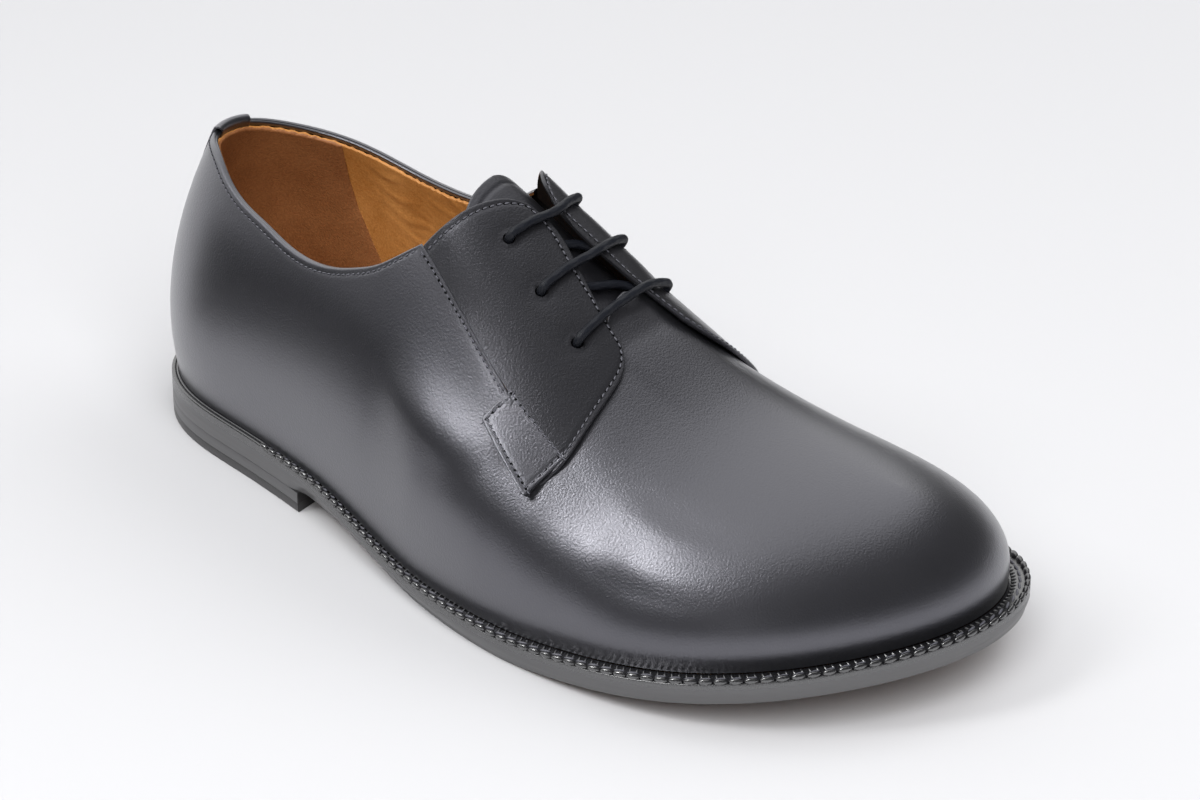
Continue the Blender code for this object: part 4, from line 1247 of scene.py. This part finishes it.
# Tongue: black calf lined with tan calf, sewn in under the throat. Its rounded top stands out above the
# facings, with a furrow along the edge where the two leathers are joined.
TONGUE = 1.8
LACE_ROOM = 4.4
TONGUE_TOP = 125.0
TONGUE_ROUND = 6.0
TONGUE_END = 190.0
TONGUE_SIDE = {LATERAL: 0.68, MEDIAL: 0.56}
TONGUE_JOIN = (176.0, 186.0)
TONGUE_EDGE = np.array([0, 0.12, 0.3, 0.55, 0.85, 1.2, 1.8, 2.4, 3.0, 3.6, 4.2, 4.8, 5.4, 6.0])
tongue_calf = black_calf("black_tongue_calf", "#17171A", 0.42, 0.6)
tongue_shares = np.concatenate([TONGUE_EDGE / 72, np.linspace(0.095, 1, 70)])[None]
tongue_sheets = []
for side in SIDES:
    width = 1 - TONGUE_SIDE[side]
    side_rows = 1 - width * np.sin(np.linspace(1, 0, 40) * np.pi / 2)
    rise = side_rows[:, None] * np.ones_like(tongue_shares)
    arch = TONGUE_TOP + TONGUE_ROUND * ((1 - side_rows) / width) ** 4
    top = arch
    for _ in range(8):
        top = top + arch - on_last(side, top, side_rows, np.full(len(arch), -LACE_ROOM))[0][:, 0]
    top = top[:, None]
    place = top + (TONGUE_END - top) * tongue_shares
    from_top = place - top
    from_side = (rise - TONGUE_SIDE[side]) * 95
    tongue_sheets.append((side, place, rise, np.stack([from_top, from_side], -1)))
points, normals, values, faces = join_sheets(tongue_sheets)
from_top, from_side = values.T
joined = ramp(points[:, 0], *TONGUE_JOIN)
level = -LACE_ROOM + joined * (LACE_ROOM - GAP - 0.1)
border = np.minimum(from_top, from_side)
tongue_outer = points + normals * (level + stitch_dent(from_top, 4.6) - rounded(border, 0.7))[:, None]
tongue_inner = points + normals * (level - TONGUE + rounded(border, 0.5))[:, None]
tongue = closed_shell("tongue", tongue_inner, tongue_outer, faces, (tongue_calf, lining_calf), inner_slot=1)
dress(tongue, "tongue_leather", "tongue")


# Facings: the two eyelet panels, calf with a calf backing. Each goes under the upper's seam, laps over the
# vamp and stands free in front. The eyelets are bare punched holes, pulled in a little by the lace.
FACING = 1.4
LAID = 0.35
LIFTED = 0.6
FREE_EDGE = {LATERAL: 0.0, MEDIAL: 1.2}
ROLL = {LATERAL: 0.0, MEDIAL: 1.7}
EYELET_RADIUS = 1.75
FACING_TOP = {
    # side: x, rise of each point, here and in the tables below
    LATERAL: ((118.0, 0.592), (120.0, 0.678), (121.8, 0.767),
              (124.0, 0.849), (126.6, 0.910), (131.0, 0.955)),
    MEDIAL: ((118.0, 0.592), (120.0, 0.678), (121.8, 0.767),
             (124.0, 0.836), (127.0, 0.876), (131.5, 0.905)),
}
FACING_REAR = {
    LATERAL: ((118.0, 0.592), (142.0, 0.558), (164.3, 0.515), (182.0, 0.352)),
    MEDIAL: ((118.0, 0.592), (142.0, 0.558), (164.3, 0.515), (188.0, 0.352)),
}
FACING_INNER = {
    LATERAL: ((131.0, 0.955), (141.5, 0.967), (151.8, 0.943), (167.9, 0.887), (182.5, 0.842)),
    MEDIAL: ((131.5, 0.905), (136.0, 0.938), (142.5, 0.957),
             (151.8, 0.956), (167.9, 0.938), (186.0, 0.890)),
}
EYELETS = {
    LATERAL: ((136.8, 0.810), (154.8, 0.778), (172.7, 0.750)),
    MEDIAL: ((136.8, 0.815), (154.8, 0.800), (172.7, 0.785)),
}
UNDER_SEAM = 0.03
# Where a facing lifts: distances from the throat, rises toward its free edge, and the roll near its top.
LIFT_RUN = (-50.0, 10.0)
LIFT_RISES = (0.62, 0.87)
ROLL_RISE = 0.81
ROLL_HALF = 0.09
ROLL_FADE = (180.0, 155.0)


def edge_path(rows, shares, straight=False):
    """Places and rises along one edge of a panel."""
    rows = np.asarray(rows, float)
    length = along(rows * (1, RISE_LENGTH))
    if straight:
        return np.column_stack([np.interp(shares, length, column) for column in rows.T])
    return spline(length, rows)(shares)


def facing_grid(side, down, across):
    """Places and rises over a facing: rows run from its top to its front, columns from seam to throat."""
    rear = edge_path(FACING_REAR[side], down, straight=True)
    tucked = UNDER_SEAM * ramp(rear[:, 0], 162, 150)
    inner = edge_path(FACING_INNER[side], down)[:, None]
    top = edge_path(FACING_TOP[side], across)[None]
    front = edge_path(FACING_FRONT[side], across)[None]
    a = across[None, :, None]
    b = down[:, None, None]
    corners = (1 - a) * (1 - b) * top[0, 0] + a * (1 - b) * top[0, -1]
    corners = corners + (1 - a) * b * front[0, 0] + a * b * front[0, -1]
    mesh = (1 - b) * top + b * front + (1 - a) * rear[:, None] + a * inner - corners
    under = tucked[:, None] * (1 - across)[None] ** 6
    return mesh[..., 0], mesh[..., 1] - under


def facing_level(side, place, rise):
    """Height of a facing's inner face over the last, rising a little to the front and to its free edge."""
    ahead = place - throat_curve(np.clip(rise, THROAT[0][0], 1))[..., 0]
    lift = LIFTED - LAID + FREE_EDGE[side] * ramp(rise, *LIFT_RISES)
    roll = ROLL[side] * np.exp(-((rise - ROLL_RISE) / ROLL_HALF) ** 2) * ramp(place, *ROLL_FADE)
    share = np.clip((ahead - LIFT_RUN[0]) / (LIFT_RUN[1] - LIFT_RUN[0]), 0, 1)
    return LAID + share * lift + roll


facing_calf = black_calf("black_facing_calf", "#151517", 0.29, 0.5)
facing_seams = {}
for side in SIDES:
    down = crowded(76, 0.75)
    across = crowded(48, 0.75)
    place, rise = facing_grid(side, down, across)
    low = facing_level(side, place, rise)
    base, normal = on_last(side, place, rise, np.zeros(rise.shape))
    top_gap, front_gap, _, inner_gap = grid_gap(base)
    free_gap = np.minimum.reduce((top_gap, front_gap, inner_gap))
    holes = np.full(rise.shape, 1e3)
    centres = []
    for x, share in EYELETS[side]:
        centre, axis = on_last(side, np.array(x), np.array(share), np.array(0.0))
        reach = base - centre
        reach = reach - (reach @ axis)[..., None] * axis
        away = np.linalg.norm(reach, axis=-1)
        centres.append((centre, axis, away, reach))
        holes = np.minimum(holes, away)
    from_hole = np.maximum(holes - EYELET_RADIUS, 0)
    dimple = 0.2 * np.exp(-((from_hole - 0.5) / 0.4) ** 2) - 0.3 * np.exp(-from_hole / 2.5)
    outer = low + FACING + dimple + stitch_dent(free_gap, SEAM_INSET, 0.14) - rounded(free_gap, 0.4)
    outer = outer - rounded(from_hole, 0.4)
    gone = holes < EYELET_RADIUS
    faces = grid_faces(*rise.shape, 0, side == MEDIAL)
    kept = ~gone.ravel()[faces].any(axis=1)
    touched = np.zeros(rise.size, bool)
    touched[faces[~kept].ravel()] = True
    snap = base.copy()
    flat_snap = snap.reshape(-1, 3)
    for centre, axis, away, reach in centres:
        away = away.ravel()
        near = touched & (away < EYELET_RADIUS * 1.6) & (away >= EYELET_RADIUS)
        pull = (1 - EYELET_RADIUS / away[near])[:, None]
        flat_snap[near] -= reach.reshape(-1, 3)[near] * pull
    row, column = np.indices(rise.shape)
    from_border = np.minimum(np.minimum(row, rise.shape[0] - 1 - row), rise.shape[1] - 1 - column).ravel()
    layers = (
        # name, border steps cut back, low face, high face, leather, slot, CAD node
        ("facing_" + side, 0, low + 0.78, outer, facing_calf, "facing_leather", ["facing_" + side]),
        ("facing_under_" + side, 2, low + 0.34, low + 0.74, facing_calf, "facing_leather", []),
        # The backing layer takes the near-black flesh side: painted shade for the deep shade under the
        # facing.
        ("facing_backing_" + side, 3, low + 0.02, low + 0.3, flesh_side_and_shade, "facing_leather", []),
    )
    for name, back, low_face, high_face, leather, slot, nodes in layers:
        panel = faces[kept & (from_border[faces] >= back).all(axis=1)]
        used = np.unique(panel)
        index = np.full(rise.size, -1)
        index[used] = np.arange(len(used))
        sheets = [(snap + normal * level[..., None]).reshape(-1, 3)[used] for level in (low_face, high_face)]
        dress(closed_shell(name, *sheets, index[panel], (leather,)), slot, *nodes)
    facing_seams[side] = (snap + normal * outer[..., None], normal, top_gap, front_gap, inner_gap)


# Tabs: small oblong stays of black calf, sewn over the foot of each facing, where it pulls on the vamp.
# Each lies partly on the facing and partly on the quarter below it.
TAB = 0.8
TAB_LEVEL = 3.3
TAB_SLOPE = 0.12
TAB_CORNERS = {
    LATERAL: ((160.4, 0.419), (164.4, 0.523), (187.6, 0.494), (182.6, 0.351)),
    MEDIAL: ((160.9, 0.419), (164.9, 0.523), (193.6, 0.494), (188.6, 0.351)),
}
tab_seams = {}
for side in SIDES:
    back_low, back_high, front_high, front_low = np.array(TAB_CORNERS[side])
    a = crowded(12, 0.4)[None, :, None]
    b = crowded(30, 0.45)[:, None, None]
    mesh = (1 - b) * ((1 - a) * back_low + a * back_high) + b * ((1 - a) * front_low + a * front_high)
    place = mesh[..., 0]
    rise = mesh[..., 1]
    on_facing = facing_level(side, place[:, -1:], rise[:, -1:]) + FACING + 0.12
    edge_level = TAB_LEVEL + TAB_SLOPE * (place[:, :1] - place[:1, :1])
    level = edge_level + (on_facing - edge_level) * (1 - (1 - a[..., 0]) ** 2)
    base, normal = on_last(side, place, rise, np.zeros(rise.shape))
    gaps = grid_gap(base)
    border = np.minimum.reduce(gaps[:3])
    low = np.minimum(level - TAB, LEATHER_TOP) * (1 - a[..., 0]) + (level - 0.14) * a[..., 0]
    level = np.maximum(level - rounded(border, 0.35), low + 0.05) + stitch_dent(border, 1.5, 0.1, 0.5)
    outer = base + normal * level[..., None]
    inner = base + normal * low[..., None]
    faces = grid_faces(*rise.shape, 0, side == MEDIAL)
    tab = closed_shell("tab_" + side, inner.reshape(-1, 3), outer.reshape(-1, 3), faces, (upper_calf,))
    dress(tab, "tab_leather", "tab_" + side)
    tab_seams[side] = (outer, normal, *gaps)


# Seams: rows of lockstitch in black waxed thread along the collar, the facings and the tabs. Each stitch is
# sunk at both ends into its hole.
STITCH_PITCH = 2.1
STITCH_LENGTH = 1.55
THREAD = 0.5
TAB_INSET = 1.4


def inset_line(values, distance, inset, axis):
    """Values of a grid along the line where a distance, measured across it, reaches the inset."""
    if axis == 0:
        values = np.swapaxes(values, 0, 1)
        distance = distance.T
    line = []
    for row, gaps in zip(values, distance):
        order = np.argsort(gaps)
        line.append([np.interp(inset, gaps[order], row[order, k]) for k in range(values.shape[-1])])
    return np.array(line)


seam_paths = []
for side in SIDES:
    outer, normal, top_gap, front_gap, inner_gap = facing_seams[side]
    everything = np.concatenate([outer, normal, np.stack([top_gap, front_gap, inner_gap], -1)], -1)
    over_top = inset_line(everything, top_gap, SEAM_INSET, 0)
    down_inner = inset_line(everything, inner_gap, SEAM_INSET, 1)
    over_front = inset_line(everything, front_gap, SEAM_INSET, 0)
    over_top = over_top[over_top[:, 8] > SEAM_INSET]
    down_inner = down_inner[(down_inner[:, 6] > SEAM_INSET) & (down_inner[:, 7] > SEAM_INSET)]
    over_front = over_front[(over_front[:, 8] > SEAM_INSET)][::-1]
    whole = np.concatenate([over_top, down_inner, over_front])
    seam_paths.append((whole[:, :3] + whole[:, 3:6] * 0.12, whole[:, 3:6]))
    outer, normal, back_gap, front_gap, low_gap, high_gap = tab_seams[side]
    everything = np.concatenate([outer, normal, np.stack([back_gap, front_gap, low_gap, high_gap], -1)], -1)
    runs = (
        inset_line(everything, back_gap, TAB_INSET, 0),
        inset_line(everything, high_gap, TAB_INSET * 0.3, 1),
        inset_line(everything, front_gap, TAB_INSET, 0)[::-1],
        inset_line(everything, low_gap, TAB_INSET, 1)[::-1],
    )
    for run in runs:
        run = run[np.sort(run[:, 6:9], axis=1)[:, 1] > TAB_INSET * 0.9]
        seam_paths.append((run[:, :3] + run[:, 3:6] * 0.1, run[:, 3:6]))
    edge_rows = (
        # from x, to x, inset
        (HEEL_X + 1.5, seam_x[0] - 1.0, SEAM_INSET),
        (seam_x[0] + 2.0, vamp_start - 2.0, REAR_INSET),
    )
    for start, end, inset in edge_rows:
        x = np.linspace(start, end, 400)
        edge = edge_rise(side, x)
        rise = edge - inset * rise_per_mm(side, x, edge)
        level = LEATHER_TOP - 0.02 + creases(side, x, rise) + seam_lift(x, np.full(400, inset))
        seam_paths.append(on_last(side, x, rise, level))
set_along("seam_stitches", seam_paths, waxed_thread, "lace_cotton",
          STITCH_PITCH, (STITCH_LENGTH, THREAD, THREAD * 0.9), slant=0.12, jitter=0.06)

# Needle holes: near-black beads set a little into the leather between the stitches, where the thread goes
# down. They are painted shade, for the shade in each pit.
needle_hole = new_material("needle_hole_shadow", {
    "Base Color": colour("#050506"), "Roughness": 0.9, "Specular IOR Level": 0.1})[0]
hole_paths = []
for path, up in seam_paths:
    begin = np.interp(STITCH_PITCH / 2, run_length(path), np.arange(len(path)))
    keep = np.arange(len(path)) >= begin
    hole_paths.append((path[keep] - up[keep] * 0.1, up[keep]))
set_along("needle_hole_shade_beads", hole_paths, needle_hole, "lace_cotton", STITCH_PITCH, (1.0, 0.8, 0.4))


# Lace: a round braid of waxed cotton. It comes up through each inner eyelet, crosses in a bar, goes down
# through the outer eyelet, and slants under the facings to the next bar. Its ends are hidden inside.
LACE_RADIUS = 1.35
SLANT_RISE = 0.93
BRAID_PITCH = 6.0
BRAID_STRANDS = 12
BRAID_RELIEF = 0.07


def lace_route():
    """Points of the lace: three bars over the facings, with a slanted run under them between two bars."""
    def at(side, x, rise, height):
        level = facing_level(side, np.array(x), np.array(rise)) + height
        return on_last(side, np.array(x), np.array(rise), level)[0]

    slack = 0.1
    below = -LACE_RADIUS - GAP - 5 * slack
    above = FACING + LACE_RADIUS + GAP + slack
    hole = (
        # rise from the eyelet's centre, height over the facing's inner face
        (0.045, below),
        (0.010, -1.7),
        (0.000, FACING / 2),
        (0.010, FACING + 1.6),
        (0.040, above),
    )
    bar = ((MEDIAL, 0.5), (MEDIAL, 0.85), (LATERAL, 0.85), (LATERAL, 0.5))
    slant = (
        # side, share of the way to the next bar, drop below the facings
        (LATERAL, 0.35, 0.4),
        (MEDIAL, 0.65, 0.7),
    )
    route = []
    for number in range(len(EYELETS[LATERAL])):
        eyelet = {side: EYELETS[side][number] for side in SIDES}
        start_x, start_rise = eyelet[MEDIAL]
        end_x, end_rise = eyelet[LATERAL]
        route += [at(MEDIAL, start_x, start_rise + step, height) for step, height in hole]
        for side, share in bar:
            x, rise = eyelet[side]
            route.append(at(side, x, rise + (1 - rise) * share, above))
        route += [at(LATERAL, end_x, end_rise + step, height) for step, height in reversed(hole)]
        for after, _ in EYELETS[MEDIAL][number + 1:number + 2]:
            for side, share, drop in slant:
                route.append(at(side, end_x + (after - end_x) * share, SLANT_RISE, below - drop))
    return np.array(route)


route = lace_route()
lace_curve = spline(along(route), route)
RINGS = 1800
ROUND = 28
middle = lace_curve(np.linspace(0, 1, RINGS))
tangent = np.gradient(middle, axis=0)
tangent /= np.linalg.norm(tangent, axis=1, keepdims=True)
side_way = np.zeros_like(middle)
side_way[0] = np.cross(tangent[0], (0, 0, 1))
for i in range(1, RINGS):
    side_way[i] = side_way[i - 1] - tangent[i] * (side_way[i - 1] @ tangent[i])
    side_way[i] /= np.linalg.norm(side_way[i])
side_way[0] /= np.linalg.norm(side_way[0])
other_way = np.cross(tangent, side_way)
angle = np.linspace(0, 2 * np.pi, ROUND, endpoint=False)
wind = 2 * np.pi * run_length(middle)[:, None] / BRAID_PITCH
strands = BRAID_STRANDS / 2
over = np.maximum(np.cos(strands * angle[None] - wind), np.cos(strands * angle[None] + wind))
radius = LACE_RADIUS - BRAID_RELIEF + BRAID_RELIEF * over
tube = middle[:, None] + radius[..., None] * (np.cos(angle)[None, :, None] * side_way[:, None]
                                              + np.sin(angle)[None, :, None] * other_way[:, None])
faces = ring_faces(RINGS, ROUND).tolist()
faces.append(list(range(ROUND))[::-1])
faces.append(list(range((RINGS - 1) * ROUND, RINGS * ROUND)))

# Lace cotton: braided tight and waxed, blue-black, with a soft sheen on each strand.
lace_cotton = speckled("waxed_cotton_braid", grit=0.3, detail=3.0, tones=("#090A0E", "#181A20"),
                       relief=(0.4, 0.00012), inputs={"Roughness": 0.48, "Specular IOR Level": 0.3})
lace = make_piece("lace", tube.reshape(-1, 3), faces, (lace_cotton,))
dress(lace, "lace_cotton", "lace")
